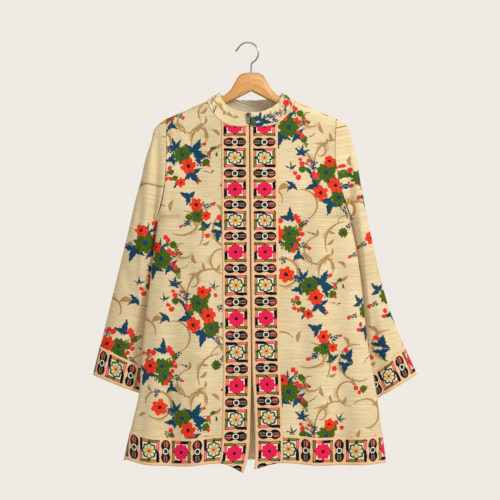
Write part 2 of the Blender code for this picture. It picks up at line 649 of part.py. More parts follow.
def make_hanger_arm(side, materials):
    """One wooden arm, lofted from its mitre at the middle to its rounded end."""
    sign = -1 if side == "right" else 1
    last = HANGER[-1].reach
    rounded = [(last + HANGER_END_RADIUS * 0.6, 0.8), (last + HANGER_END_RADIUS * 0.93, 0.4)]
    stations = [(reach, 1.0) for reach in HANGER_SECTIONS] + rounded
    rings = np.array([hanger_section(sign, reach, share) for reach, share in stations])
    mesh = sheet_mesh("hanger_arm_" + side, rings, tube=True)
    built = bmesh.new()
    built.from_mesh(mesh)
    bmesh.ops.holes_fill(built, edges=[edge for edge in built.edges if edge.is_boundary], sides=0)
    bmesh.ops.recalc_face_normals(built, faces=built.faces)
    built.to_mesh(mesh)
    built.free()
    add_object("hanger_arm_" + side, mesh, materials["wood"])
    mesh.shade_smooth()
    mesh.set_sharp_from_angle(angle=math.radians(40))


def make_hook(materials):
    """The hook: a flared tip, a round bend and a straight shaft down to the wood."""
    centre_z = HOOK_WIRE - HOOK_RADIUS
    route = [HOOK_TIP]
    for k in range(HOOK_STEPS + 1):
        angle = math.radians(HOOK_START_DEGREES - HOOK_SWEEP_DEGREES * k / HOOK_STEPS)
        x = HOOK_CENTRE_X + HOOK_RADIUS * math.cos(angle)
        route.append((x, centre_z + HOOK_RADIUS * math.sin(angle)))
    route = [(x, 0.0, z) for x, z in route + HOOK_TO_SHAFT]
    wire_object("hanger_hook", route, HOOK_WIRE, 2, materials["hook_wire"])


def make_materials():
    made = {}
    for name, finish in FINISHES.items():
        material = bpy.data.materials.new(name)
        material.use_nodes = True
        shader = material.node_tree.nodes["Principled BSDF"]
        shader.inputs["Base Color"].default_value = finish.colour
        shader.inputs["Roughness"].default_value = finish.roughness
        shader.inputs["Metallic"].default_value = finish.metallic
        made[name] = material
    return made


def main():
    for old in list(bpy.data.objects):
        bpy.data.objects.remove(old)
    for name in ("tunic_jacket_on_hanger", "tunic_jacket_cutters"):
        bpy.context.scene.collection.children.link(bpy.data.collections.new(name))
    shaft = bpy.data.objects.new("shaft", None)
    shaft.location.x = SHAFT_OFFSET
    bpy.data.collections["tunic_jacket_on_hanger"].objects.link(shaft)
    materials = make_materials()
    right, left = [make_front(side, materials) for side in ("right", "left")]
    back = make_back(materials)
    collar = collar_points(right, back, left)
    add_cloth("collar", collar[:, ::-1], materials["printed_cloth"], WALL)
    for side in ("right", "left"):
        make_sleeve(side, materials)
        make_hanger_arm(side, materials)
    make_zip(right, collar, materials)
    slider_foot = SLIDER_Z - SLIDER_HEIGHT / 2
    slider_back = float(centre_front_y(right, collar, slider_foot)) - WALL * 0.55 - SEAM_GAP
    slider_y = slider_back - SLIDER_DEPTH / 2
    make_slider(slider_y, materials)
    make_pull(slider_y, materials)
    make_hook(materials)


main()
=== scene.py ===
import math
import bmesh
import bpy
import numpy as np
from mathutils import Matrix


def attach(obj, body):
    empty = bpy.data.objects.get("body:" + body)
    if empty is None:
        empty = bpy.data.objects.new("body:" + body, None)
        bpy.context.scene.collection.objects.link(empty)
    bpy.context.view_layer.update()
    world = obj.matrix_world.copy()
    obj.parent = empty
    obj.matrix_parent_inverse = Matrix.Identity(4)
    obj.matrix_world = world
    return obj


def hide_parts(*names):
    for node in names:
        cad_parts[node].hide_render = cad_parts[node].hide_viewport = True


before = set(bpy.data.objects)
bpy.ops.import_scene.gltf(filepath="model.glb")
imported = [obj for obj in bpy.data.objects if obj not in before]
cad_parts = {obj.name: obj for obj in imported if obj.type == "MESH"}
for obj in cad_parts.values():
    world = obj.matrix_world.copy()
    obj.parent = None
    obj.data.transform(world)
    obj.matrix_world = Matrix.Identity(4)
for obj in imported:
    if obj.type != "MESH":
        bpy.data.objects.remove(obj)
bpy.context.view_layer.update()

print("frame loaded")

# Left and right are the wearer's. Sizes across are measured from the hanger's shaft
shaftX = 0.007
band = {"front": 0.0605, "hem": 0.0605, "cuff": 0.066}  # how wide each ribbon shows
neck = {"half": 0.0985, "height": -0.1295, "frontDrop": 0.0595, "backDrop": 0.021}
shoulder = {"half": 0.187, "slope": 0.45, "round": 0.022}
shoulder["tip"] = neck["height"] - (shoulder["half"] - neck["half"]) * shoulder["slope"]
armhole = {"bottom": -0.386, "depth": 0.020, "fullness": 0.6, "reach": 5}
shell = {
    "cloth": 0.0008, "ribbon": 0.0007, "collar": 0.0013, "tape": 0.0007, "lift": 0.0009, "halfSeam": 0.0005,
}

# The body from hem to shoulder
body = {
    "height": [-0.950, -0.921, -0.844, -0.771, -0.657, -0.569, -0.485, -0.386, -0.349, -0.305, -0.239],
    "right": [0.2840, 0.2790, 0.2620, 0.2460, 0.2370, 0.2270, 0.2170, 0.2040, 0.1950, 0.1885, 0.1860],
    "left": [0.2975, 0.2945, 0.2845, 0.2745, 0.2550, 0.2460, 0.2360, 0.2160, 0.2040, 0.1920, 0.1840],
    "midY": [-0.016, -0.016, -0.015, -0.014, -0.013, -0.012, -0.010, -0.008, -0.006, -0.005, -0.002],
    "sideY": [-0.035, -0.035, -0.034, -0.033, -0.030, -0.027, -0.023, -0.018, -0.017, -0.016, -0.014],
    "front": [0.052, 0.052, 0.050, 0.048, 0.045, 0.042, 0.040, 0.038, 0.038, 0.039, 0.042],
    "back": [0.040, 0.040, 0.038, 0.037, 0.036, 0.034, 0.032, 0.030, 0.029, 0.029, 0.029],
    "squareness": [2.4, 2.4, 2.4, 2.4, 2.3, 2.2, 2.1, 2.0, 2.0, 2.0, 1.9],
}
bodyTop = {"height": 0, "right": 0.187, "left": 0.187, "midY": 0.0, "sideY": -0.012}
bodyTop.update({"front": 0.045, "back": 0.030, "squareness": 1.9})
for topZ in (shoulder["tip"], -0.100):
    for column, values in body.items():
        values.append(topZ if column == "height" else bodyTop[column])

# The edges of the two fronts, which part below the zip
opening = {
    "height": [-0.950, -0.930, -0.900, -0.860, -0.790, -0.722, -0.570, -0.380, -0.150],
    "right": [-0.0200, -0.0120, -0.0055, -0.0028, -0.0015, -0.0005, -0.0020, -0.0040, -0.0054],
    "left": [0.0050, 0.0070, 0.0090, 0.0086, 0.0060, 0.0028, 0.0008, -0.0012, -0.0026],
}
# The hem from the opening to the side seam
hem = {
    "share": [0.00, 0.21, 0.55, 0.80, 1.00],
    "right": [-0.9440, -0.9235, -0.9300, -0.9270, -0.9165],
    "left": [-0.9360, -0.9225, -0.9280, -0.9275, -0.9250],
    "back": [-0.9270, -0.9270, -0.9265, -0.9250, -0.9210],
}
hemWidth = 0.28

# The sleeves' outer and inner edges, from the cuff to the armhole
sleeves = {
    "right": {
        "outerX": [0.3512, 0.3315, 0.3095, 0.2875, 0.2710, 0.2556, 0.2435, 0.2336, 0.2193, 0.2140,
                   0.2040, 0.187],
        "outerZ": [-0.7365, -0.6567, -0.5687, -0.4807, -0.4147, -0.3487, -0.3047, -0.2607, -0.2167, -0.1947,
                   -0.1815, shoulder["tip"]],
        "innerX": [0.2170, 0.2320, 0.2345, 0.2330, 0.2290, 0.2235, 0.2195, 0.2155, 0.2115, 0.2085,
                   0.2066, 0.2040],
        "innerZ": [-0.7875, -0.7030, -0.6360, -0.5710, -0.5250, -0.4830, -0.4570, -0.4330, -0.4100, -0.3970,
                   -0.3900, armhole["bottom"]],
    },
    "left": {
        "outerX": [0.3680, 0.3329, 0.2999, 0.2768, 0.2625, 0.2490, 0.2405, 0.2328, 0.2218, 0.2160,
                   0.2075, 0.187],
        "outerZ": [-0.7345, -0.6567, -0.5687, -0.4807, -0.4147, -0.3487, -0.3047, -0.2607, -0.2167, -0.1947,
                   -0.1815, shoulder["tip"]],
        "innerX": [0.2396, 0.2530, 0.2540, 0.2515, 0.2485, 0.2435, 0.2385, 0.2325, 0.2255, 0.2215,
                   0.2190, 0.2160],
        "innerZ": [-0.8110, -0.7220, -0.6480, -0.5780, -0.5300, -0.4870, -0.4600, -0.4350, -0.4100, -0.3975,
                   -0.3905, armhole["bottom"]],
    },
}
sleeveGirth = {
    "share": [0.0, 0.25, 0.50, 0.70, 0.90, 1.0],
    "centreY": [0.012, 0.006, -0.003, -0.010, -0.013, -0.015],
    "halfDepth": [0.027, 0.023, 0.020, 0.020, 0.020, 0.020],
    "fullness": [0.90, 0.90, 0.85, 0.75, 0.65, 0.60],
}
tuck = {"across": 0.013, "back": 0.015, "bottom": -0.68, "fade": 0.08, "narrow": 3.2,
        "past": 0.004, "topFade": 0.03}
sleeveSetIn = {"length": 0.558, "share": 0.28, "topGap": 0.0008, "underarmGap": 0.0028, "creaseShift": 0.014}

# The largest folds: top x and z, bottom x and z, half width, depth at the top and at the bottom
folds = {
    "rightFront": [
        (-0.105, -0.34, -0.125, -0.95, 0.036, 0.001, 0.011),
        (-0.165, -0.42, -0.180, -0.95, 0.030, -0.003, -0.008),
        (-0.200, -0.50, -0.225, -0.95, 0.030, 0.001, 0.007),
    ],
    "leftFront": [
        (0.120, -0.26, 0.118, -0.58, 0.026, -0.004, -0.001),
        (0.148, -0.36, 0.136, -0.95, 0.036, 0.003, 0.009),
        (0.180, -0.40, 0.197, -0.95, 0.034, -0.004, -0.010),
        (0.226, -0.50, 0.246, -0.95, 0.030, 0.001, 0.007),
    ],
    "back": [
        (-0.200, -0.50, -0.228, -0.95, 0.034, 0.001, 0.007),
        (-0.125, -0.34, -0.165, -0.95, 0.038, -0.002, -0.009),
        (-0.075, -0.40, -0.095, -0.95, 0.038, 0.001, 0.009),
        (-0.010, -0.30, -0.020, -0.95, 0.042, -0.002, -0.009),
        (0.070, -0.42, 0.060, -0.95, 0.038, 0.001, 0.010),
        (0.120, -0.34, 0.140, -0.95, 0.038, -0.003, -0.010),
        (0.190, -0.46, 0.215, -0.95, 0.038, 0.001, 0.009),
    ],
    "rightSleeve": [
        (-0.2060, -0.20, -0.2200, -0.45, 0.013, -0.010, -0.009),
        (-0.2240, -0.22, -0.2450, -0.58, 0.015, 0.004, 0.003),
        (-0.2900, -0.55, -0.2750, -0.80, 0.026, 0.001, 0.006),
    ],
    "leftSleeve": [
        (0.2120, -0.20, 0.2370, -0.49, 0.013, -0.011, -0.009),
        (0.2450, -0.30, 0.2900, -0.66, 0.020, 0.003, 0.005),
        (0.2750, -0.52, 0.2850, -0.80, 0.024, -0.004, -0.006),
    ],
}
# Smaller creases: start x and z, end x and z, half width, height (a trough is negative), bow
creases = {
    "rightFront": [
        (-0.178, -0.205, -0.120, -0.300, 0.011, -0.0016, 0.008),
        (-0.165, -0.190, -0.140, -0.255, 0.009, 0.0012, -0.005),
        (-0.185, -0.300, -0.150, -0.420, 0.013, -0.0020, 0.012),
        (-0.205, -0.400, -0.165, -0.560, 0.014, 0.0018, 0.010),
        (-0.145, -0.440, -0.135, -0.640, 0.012, -0.0014, -0.006),
        (-0.090, -0.500, -0.095, -0.780, 0.013, 0.0013, 0.005),
        (-0.215, -0.640, -0.240, -0.860, 0.014, -0.0018, 0.005),
        (-0.100, -0.215, -0.090, -0.330, 0.013, 0.0010, 0.004),
        (-0.160, -0.700, -0.150, -0.900, 0.011, 0.0014, -0.004),
        (-0.075, -0.800, -0.080, -0.905, 0.010, -0.0012, 0.003),
    ],
    "leftFront": [
        (0.176, -0.205, 0.125, -0.310, 0.011, -0.0016, -0.008),
        (0.150, -0.195, 0.125, -0.270, 0.010, 0.0012, 0.005),
        (0.190, -0.320, 0.155, -0.440, 0.013, -0.0022, -0.012),
        (0.110, -0.330, 0.104, -0.520, 0.012, -0.0015, 0.004),
        (0.165, -0.560, 0.168, -0.760, 0.011, -0.0018, 0.006),
        (0.215, -0.450, 0.235, -0.700, 0.014, 0.0018, -0.008),
        (0.090, -0.560, 0.086, -0.800, 0.013, 0.0014, -0.005),
        (0.262, -0.700, 0.270, -0.880, 0.012, -0.0018, 0.003),
        (0.105, -0.760, 0.112, -0.905, 0.010, -0.0014, 0.003),
    ],
    "back": [
        (-0.178, -0.210, -0.100, -0.330, 0.013, -0.0018, 0.010),
        (0.178, -0.210, 0.105, -0.340, 0.013, -0.0018, -0.010),
        (-0.120, -0.180, 0.000, -0.215, 0.014, 0.0012, -0.006),
        (0.020, -0.205, 0.125, -0.185, 0.013, -0.0011, 0.006),
        (-0.190, -0.400, -0.150, -0.560, 0.014, 0.0018, 0.010),
        (0.200, -0.400, 0.165, -0.560, 0.014, 0.0018, -0.010),
        (-0.050, -0.420, -0.055, -0.700, 0.013, 0.0014, 0.006),
        (0.030, -0.380, 0.035, -0.600, 0.013, -0.0014, 0.005),
        (0.095, -0.600, 0.100, -0.860, 0.012, 0.0016, -0.004),
        (-0.130, -0.640, -0.135, -0.880, 0.012, 0.0016, 0.004),
        (0.235, -0.650, 0.250, -0.880, 0.013, -0.0018, 0.004),
    ],
    "rightSleeve": [
        (-0.206, -0.186, -0.196, -0.255, 0.008, -0.0022, 0.004),
        (-0.214, -0.200, -0.222, -0.330, 0.008, 0.0018, 0.003),
        (-0.232, -0.330, -0.252, -0.470, 0.010, -0.0020, 0.005),
        (-0.262, -0.400, -0.240, -0.500, 0.010, 0.0016, -0.004),
        (-0.285, -0.470, -0.262, -0.560, 0.011, -0.0017, 0.004),
        (-0.258, -0.560, -0.250, -0.720, 0.010, -0.0019, 0.003),
        (-0.305, -0.580, -0.318, -0.720, 0.012, 0.0016, -0.003),
    ],
    "leftSleeve": [
        (0.206, -0.186, 0.200, -0.260, 0.008, -0.0022, -0.004),
        (0.216, -0.205, 0.228, -0.340, 0.008, 0.0018, -0.003),
        (0.236, -0.330, 0.250, -0.470, 0.009, -0.0018, -0.004),
        (0.262, -0.420, 0.246, -0.520, 0.010, 0.0018, 0.004),
        (0.270, -0.480, 0.262, -0.600, 0.010, -0.0018, -0.004),
        (0.300, -0.590, 0.318, -0.720, 0.012, -0.0017, 0.003),
    ],
}
creaseStrength = 1.4  # how much the smaller creases stand out
# How folds and creases die away towards the side seams, the shoulders and the front edges
fading = {"chest": 0.16, "side": 0.12, "shoulder": 0.2, "foldStart": 0.018, "foldRise": 0.06,
          "creaseStart": 0.050, "creaseRise": 0.03}


# Curves and sheets
def smoothCurve(stations, values, at):
    x, y = np.asarray(stations, float), np.asarray(values, float)
    steps = np.diff(x)
    slopes = np.diff(y) / steps
    tangents = np.zeros_like(y)
    before, after = slopes[:-1], slopes[1:]
    sameWay = before * after > 0
    tangents[1:-1][sameWay] = 2 * (before * after)[sameWay] / (before + after)[sameWay]
    tangents[0], tangents[-1] = slopes[0], slopes[-1]
    at = np.clip(np.asarray(at, float), x[0], x[-1])
    i = np.clip(np.searchsorted(x, at, side="right") - 1, 0, len(steps) - 1)
    t = (at - x[i]) / steps[i]
    value = (1 + 2 * t) * (1 - t) ** 2 * y[i] + t * t * (3 - 2 * t) * y[i + 1]
    return value + steps[i] * t * (1 - t) * ((1 - t) * tangents[i] - t * tangents[i + 1])


def read(table, column, at):
    return smoothCurve(table[next(iter(table))], table[column], at)


def ease(t):
    t = np.clip(t, 0.0, 1.0)
    return t * t * (3 - 2 * t)


def crowded(count, power=8):  # shares from 0 to 1 that crowd together near 1
    t = np.linspace(0, 1, count)
    return t + 0.9 * t**power * (1 - t)


def foldHeight(name, x, z):
    total = np.zeros_like(x)
    for topX, topZ, bottomX, bottomZ, halfWidth, topDepth, bottomDepth in folds[name]:
        down = (topZ - z) / (topZ - bottomZ)
        middle = topX + (bottomX - topX) * down
        away = np.clip(np.abs(x - middle) / halfWidth, 0, 1)
        depth = topDepth + (bottomDepth - topDepth) * np.clip(down, 0, 1)
        faded = ease(down / 0.25 + 0.25) * ease((1.15 - down) / 0.25)
        total += depth * np.cos(away * math.pi / 2) ** 2 * faded
    return total


def creaseHeight(name, x, z):
    total = np.zeros_like(x)
    for startX, startZ, endX, endZ, halfWidth, height, bow in creases[name]:
        acrossX, downZ = endX - startX, endZ - startZ
        length = math.hypot(acrossX, downZ)
        share = ((x - startX) * acrossX + (z - startZ) * downZ) / length**2
        arch = np.sin(np.clip(share, 0, 1) * math.pi)
        away = ((x - startX) * downZ - (z - startZ) * acrossX) / length - bow * arch
        total += height * np.exp(-((away / halfWidth) ** 2)) * arch**0.7
    return total * creaseStrength


def seamZ(x):
    return neck["height"] - (np.abs(x) - neck["half"]) * shoulder["slope"]


def topEdge(x, drop):
    scoop = np.clip(1 - (x / neck["half"]) ** 4, 0, 1)
    return np.where(np.abs(x) < neck["half"], neck["height"] - drop * scoop, seamZ(x))


def armholeDepth(x, z):
    seam = seamZ(np.minimum(np.abs(x), shoulder["half"]))
    cosine = np.clip(2 * (z - armhole["bottom"]) / (seam - armhole["bottom"]) - 1, -1, 1)
    return armhole["depth"] * np.sqrt(1 - cosine**2) ** armhole["fullness"]


def bodyY(face, x, z, name):
    side = np.where(x < 0, read(body, "right", z), read(body, "left", z))
    out = np.clip(np.abs(x) / side, 0, 1)
    chest = ease((z - armhole["bottom"]) / fading["chest"])
    drop = np.clip((seamZ(x) - z) / shoulder["round"], 0, 1)
    rounded = np.sqrt(1 - (1 - drop) ** 2)
    section = np.clip(1 - out ** read(body, "squareness", z), 0, 1) ** ((1 + chest) / 2)
    depth = read(body, "front" if face < 0 else "back", z) * rounded * section
    depth = np.maximum(depth + armholeDepth(x, z) * out ** armhole["reach"], shell["halfSeam"])
    middle = read(body, "midY", z) * (1 - out**2) + read(body, "sideY", z) * out**2
    clear = ease((1 - out) / fading["side"]) * ease(drop - fading["shoulder"])
    small = creaseHeight(name, x, z) * clear
    if face < 0:
        clear = clear * ease((np.abs(x) - fading["foldStart"]) / fading["foldRise"])
        small = small * ease((np.abs(x) - fading["creaseStart"]) / fading["creaseRise"])
    return middle + face * (depth + foldHeight(name, x, z) * clear + small)


def bandSteps(width, count):
    return np.stack([np.linspace(0, width, count), np.zeros(count)], axis=1)


def pastBand(width, count, power=8):
    shares = crowded(count, power)[1:]
    return np.stack([np.full(len(shares), width), shares], axis=1)


def frontPoints(side, rows, columns):
    sign = -1 if side == "right" else 1
    name = side + "Front"
    openTop = sign * float(read(opening, side, neck["height"] - neck["frontDrop"]))
    metres, shares = columns.T
    up, rise = rows.T[:, :, None]
    xTop = openTop + metres + shares * (shoulder["half"] - openTop - band["front"])
    foot = read(hem, side, (metres + shares * (hemWidth - band["front"])) / hemWidth)
    z = foot + up + rise * (topEdge(xTop, neck["frontDrop"]) - foot - band["hem"])
    edge = sign * read(opening, side, z)
    x = sign * (edge + metres + shares * (read(body, side, z) - edge - band["front"]))
    points = np.stack([x, bodyY(-1, x, z, name), z], axis=-1)
    return points if side == "left" else points[:, ::-1]


def backPoints(rows, shares):
    up, rise = rows.T[:, :, None]
    foot = read(hem, "back", np.abs(shares))
    z = foot + up + rise * (topEdge(shares * shoulder["half"], neck["backDrop"]) - foot - band["hem"])
    x = shares * np.where(shares < 0, read(body, "right", z), read(body, "left", z))
    return np.stack([x, bodyY(1, x, z, "back"), z], axis=-1)


def sleeveEdge(side, names, metres, shares):
    corners = np.array([sleeves[side][name] for name in names]).T
    lengths = np.append(0, np.cumsum(np.linalg.norm(np.diff(corners, axis=0), axis=1)))
    distance = metres + shares * (lengths[-1] - band["cuff"])
    return [smoothCurve(lengths, corners[:, k], distance) for k in (0, 1)]


def sleevePoints(side, levels, turns):
    sign = -1 if side == "right" else 1
    name = side + "Sleeve"
    metres, shares = levels.T[:, :, None]
    turn = turns[None, :]
    face = np.where(np.mod(turn, 2 * math.pi) < math.pi, -1.0, 1.0)
    outerX, outerZ = sleeveEdge(side, ("outerX", "outerZ"), metres, shares)
    innerX, innerZ = sleeveEdge(side, ("innerX", "innerZ"), metres, shares)
    out, roundShare = (1 + np.cos(turn)) / 2, np.abs(np.sin(turn))
    x = sign * (innerX + (outerX - innerX) * out)
    z = innerZ + (outerZ - innerZ) * out
    up = (metres + shares * (sleeveSetIn["length"] - band["cuff"])) / sleeveSetIn["length"]
    depth = read(sleeveGirth, "halfDepth", up) * roundShare ** read(sleeveGirth, "fullness", up)
    shift = np.where(face < 0, 0.0, sleeveSetIn["creaseShift"])  # the back has like creases further on
    small = creaseHeight(name, x + sign * shift, z + 2 * shift)
    faded = ease(roundShare * 2) * ease(8 - shares * 8)
    y = read(sleeveGirth, "centreY", up) + face * (depth + (foldHeight(name, x, z) + small) * faded)
    armholeZ = armhole["bottom"] + (shoulder["tip"] - armhole["bottom"]) * out
    wider = sleeveSetIn["underarmGap"] - sleeveSetIn["topGap"]
    gap = sleeveSetIn["topGap"] + wider * ease(1 - out * 2)
    straight = sleeves[side]["innerX"][-1] * (1 - out) + shoulder["half"] * out
    inset = read(body, side, armholeZ) + gap - straight
    level = read(body, "sideY", armholeZ) - sleeveGirth["centreY"][-1]
    near = ease((shares - 1 + sleeveSetIn["share"]) / sleeveSetIn["share"])
    below = ease((armhole["bottom"] + tuck["past"] - z) / tuck["topFade"])
    beside = ease((z - tuck["bottom"]) / tuck["fade"]) * below
    tucked = beside * ease(1 - out * tuck["narrow"])  # the inner fold lies behind the body's side
    x = x + near * sign * inset - sign * tuck["across"] * tucked
    points = np.stack([x, y + near * level + tuck["back"] * tucked, z], axis=-1)
    return points if side == "right" else points[:, ::-1]


def runLength(points, axis, parts=(0, 1, 2)):  # how far each point is along its row or column
    steps = np.linalg.norm(np.diff(points[..., parts], axis=axis), axis=-1)
    start = np.zeros_like(np.take(steps, [0], axis=axis))
    return np.concatenate([start, np.cumsum(steps, axis=axis)], axis=axis)


def movedOut(points, distance, tube=False):
    padded = points
    if tube:
        padded = np.concatenate([points[:, -2:-1], points, points[:, 1:2]], axis=1)
    normals = np.cross(np.gradient(padded, axis=1), np.gradient(padded, axis=0))
    normals /= np.linalg.norm(normals, axis=-1, keepdims=True)
    return points + distance * (normals[:, 1:-1] if tube else normals)


def sheetPiece(name, points, flat, materials, wall, tube=False):
    rows, columns = points.shape[:2]
    built = bmesh.new()
    bmesh.ops.create_grid(built, x_segments=columns - 1, y_segments=rows - 1, size=1.0, calc_uvs=True)
    mesh = bpy.data.meshes.new(name)
    built.to_mesh(mesh)
    places = np.empty(len(mesh.vertices) * 3)
    mesh.vertices.foreach_get("co", places)
    column = np.rint((places[0::3] + 1) / 2 * (columns - 1)).astype(int)
    row = np.rint((places[1::3] + 1) / 2 * (rows - 1)).astype(int)
    worldPoints = points + np.array([shaftX, 0.0, 0.0])
    mesh.vertices.foreach_set("co", worldPoints[row, column].ravel())
    corners = np.empty(len(mesh.loops), int)
    mesh.loops.foreach_get("vertex_index", corners)
    layer = mesh.uv_layers[0] if mesh.uv_layers else mesh.uv_layers.new()
    layer.name = "flat"
    layer.data.foreach_set("uv", flat[row, column][corners].ravel())
    if tube:
        built.clear()
        built.from_mesh(mesh)
        bmesh.ops.remove_doubles(built, verts=built.verts, dist=0.00001)
        built.to_mesh(mesh)
    built.free()
    for material in materials:
        mesh.materials.append(material)
    mesh.shade_smooth()
    piece = bpy.data.objects.new(name, mesh)
    bpy.context.scene.collection.objects.link(piece)
    solid = piece.modifiers.new("Wall", "SOLIDIFY")
    solid.thickness = wall
    solid.offset = 0.0
    solid.use_even_offset = True
    solid.material_offset = len(materials) - 1
    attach(piece, "root")
    return piece


# Shader nodes
def inkColour(red, green, blue):
    def linear(value):
        value = value / 255
        return value / 12.92 if value <= 0.04045 else ((value + 0.055) / 1.055) ** 2.4

    return (linear(red), linear(green), linear(blue), 1.0)


def addNode(tree, kind, inputs=(), **settings):
    made = tree.nodes.new("ShaderNode" + kind)
    for name, value in settings.items():
        setattr(made, name, value)
    for key, value in dict(inputs).items():
        if isinstance(value, bpy.types.NodeSocket):
            tree.links.new(value, made.inputs[key])
        else:
            made.inputs[key].default_value = value
    return made


def maths(tree, operation, *values):
    return addNode(tree, "Math", dict(enumerate(values)), operation=operation).outputs[0]


def vectors(tree, operation, *values):
    made = addNode(tree, "VectorMath", dict(enumerate(values)), operation=operation)
    return made.outputs["Value" if operation in ("LENGTH", "DISTANCE", "DOT_PRODUCT") else "Vector"]


def flatParts(tree, place):
    return [vectors(tree, "DOT_PRODUCT", place, way) for way in ((1.0, 0.0, 0.0), (0.0, 1.0, 0.0))]


def mixColour(tree, share, first, second, blend="MIX"):
    made = addNode(tree, "Mix", {0: share, 6: first, 7: second}, data_type="RGBA", blend_type=blend)
    return made.outputs[2]


def inside(tree, edge, softness=0.0004):  # 1 where an edge's distance is below zero
    ends = {"Value": edge, "From Min": softness, "From Max": -softness}
    return addNode(tree, "MapRange", ends).outputs[0]


def newGroup(name, inputs, outputs):
    group = bpy.data.node_groups.new(name, "ShaderNodeTree")
    for label, kind in inputs:
        group.interface.new_socket(label, in_out="INPUT", socket_type="NodeSocket" + kind)
    for label, kind in outputs:
        group.interface.new_socket(label, in_out="OUTPUT", socket_type="NodeSocket" + kind)
    given, wanted = group.nodes.new("NodeGroupInput"), group.nodes.new("NodeGroupOutput")
    return group, given.outputs, wanted.inputs


def useGroup(tree, group, **inputs):
    made = tree.nodes.new("ShaderNodeGroup")
    made.node_tree = group
    for name, value in inputs.items():
        if isinstance(value, bpy.types.NodeSocket):
            tree.links.new(value, made.inputs[name])
        else:
            made.inputs[name].default_value = value
    return made.outputs


# The print's motifs. Each gives the distance to its edge, below zero inside
def newMotif(name, settings, results=("Edge",)):
    inputs = [(label, "Vector") for label in ("Place", "Centre", "Along", "Aside")]
    inputs += [(label, "Float") for label in ("Size", *settings)]
    tree, given, wanted = newGroup(name, inputs, [(label, "Float") for label in results])
    moved = vectors(tree, "SUBTRACT", given["Place"], given["Centre"])
    x, y = [vectors(tree, "DOT_PRODUCT", moved, given[way]) for way in ("Along", "Aside")]
    return tree, given, wanted, moved, x, y


def blossomGroup():
    settings, results = ("Petals", "Notch"), ("Edge", "Vein", "Eye")
    tree, given, wanted, place, x, y = newMotif("blossom", settings, results)
    ring = maths(tree, "DIVIDE", vectors(tree, "LENGTH", place), given["Size"])
    angle = maths(tree, "MULTIPLY", maths(tree, "ARCTAN2", y, x), given["Petals"])
    lobe = maths(tree, "ABSOLUTE", maths(tree, "COSINE", angle))
    bite = maths(tree, "MULTIPLY", maths(tree, "SUBTRACT", 1.0, lobe), given["Notch"])
    edge = maths(tree, "ADD", maths(tree, "SUBTRACT", ring, 1.0), bite)
    tree.links.new(maths(tree, "MULTIPLY", edge, given["Size"]), wanted["Edge"])
    thin = maths(tree, "MULTIPLY_ADD", lobe, 0.6, -0.14)
    vein = maths(tree, "MAXIMUM", maths(tree, "MULTIPLY", thin, ring), maths(tree, "SUBTRACT", 0.34, ring))
    tree.links.new(maths(tree, "MULTIPLY", vein, given["Size"]), wanted["Vein"])
    eye = maths(tree, "MULTIPLY", maths(tree, "SUBTRACT", ring, 0.24), given["Size"])
    tree.links.new(eye, wanted["Eye"])
    return tree


def leafGroup():  # from its base at the centre to its tip, bent sideways by its bend
    tree, given, wanted, _, x, y = newMotif("leaf", ("Width", "Bend"))
    share = maths(tree, "DIVIDE", x, given["Size"])
    belly = maths(tree, "MULTIPLY", share, maths(tree, "SUBTRACT", 1.0, share))
    away = maths(tree, "ABSOLUTE", maths(tree, "MULTIPLY_ADD", belly, given["Bend"], y))
    edge = maths(tree, "SUBTRACT", away, maths(tree, "MULTIPLY", belly, given["Width"]))
    tree.links.new(edge, wanted["Edge"])
    return tree


def fanGroup():  # a jagged leaf, or a tuft of leaflets
    tree, given, wanted, place, x, y = newMotif("fan", ("Leaflets", "Full"))
    reach = maths(tree, "DIVIDE", vectors(tree, "LENGTH", place), given["Size"])
    angle = maths(tree, "ARCTAN2", y, x)
    turns = maths(tree, "MULTIPLY", angle, given["Leaflets"])
    dip = maths(tree, "ABSOLUTE", maths(tree, "SINE", turns))
    teeth = maths(tree, "ABSOLUTE", maths(tree, "SINE", maths(tree, "MULTIPLY", turns, 3.0)))
    lobe = maths(tree, "SUBTRACT", maths(tree, "MULTIPLY_ADD", teeth, -0.2, 1.0), dip)
    point = maths(tree, "MULTIPLY", lobe, maths(tree, "SUBTRACT", 1.25, given["Full"]))
    side = maths(tree, "MULTIPLY_ADD", maths(tree, "MULTIPLY", angle, angle), -0.13, 1.0)
    outline = maths(tree, "MULTIPLY", maths(tree, "ADD", point, given["Full"]), side)
    edge = maths(tree, "SUBTRACT", reach, outline)
    tree.links.new(maths(tree, "MULTIPLY", edge, given["Size"]), wanted["Edge"])
    return tree


def sprigGroup():  # a stem with small leaves that lean forward, by turns on its two sides
    tree, given, wanted, _, x, y = newMotif("sprig", ("Pitch",))
    side = maths(tree, "ABSOLUTE", y)
    longest = maths(tree, "MULTIPLY_ADD", x, -0.24, maths(tree, "MULTIPLY", given["Size"], 0.42))
    share = maths(tree, "DIVIDE", side, longest)
    other = maths(tree, "MULTIPLY", maths(tree, "GREATER_THAN", y, 0.0), 0.5)
    lean = maths(tree, "DIVIDE", maths(tree, "MULTIPLY_ADD", side, -0.9, x), given["Pitch"])
    phase = maths(tree, "SUBTRACT", maths(tree, "FRACT", maths(tree, "ADD", lean, other)), 0.5)
    belly = maths(tree, "MULTIPLY", share, maths(tree, "SUBTRACT", 1.0, share))
    leaf = maths(tree, "MULTIPLY_ADD", belly, -1.7, maths(tree, "ABSOLUTE", phase))
    leaf = maths(tree, "MULTIPLY", leaf, given["Pitch"])
    stem = maths(tree, "SUBTRACT", side, 0.0005)
    made = maths(tree, "MINIMUM", leaf, stem)
    ends = maths(tree, "MAXIMUM", maths(tree, "MULTIPLY", x, -1.0), maths(tree, "SUBTRACT", x, given["Size"]))
    tree.links.new(maths(tree, "MAXIMUM", made, ends), wanted["Edge"])
    return tree


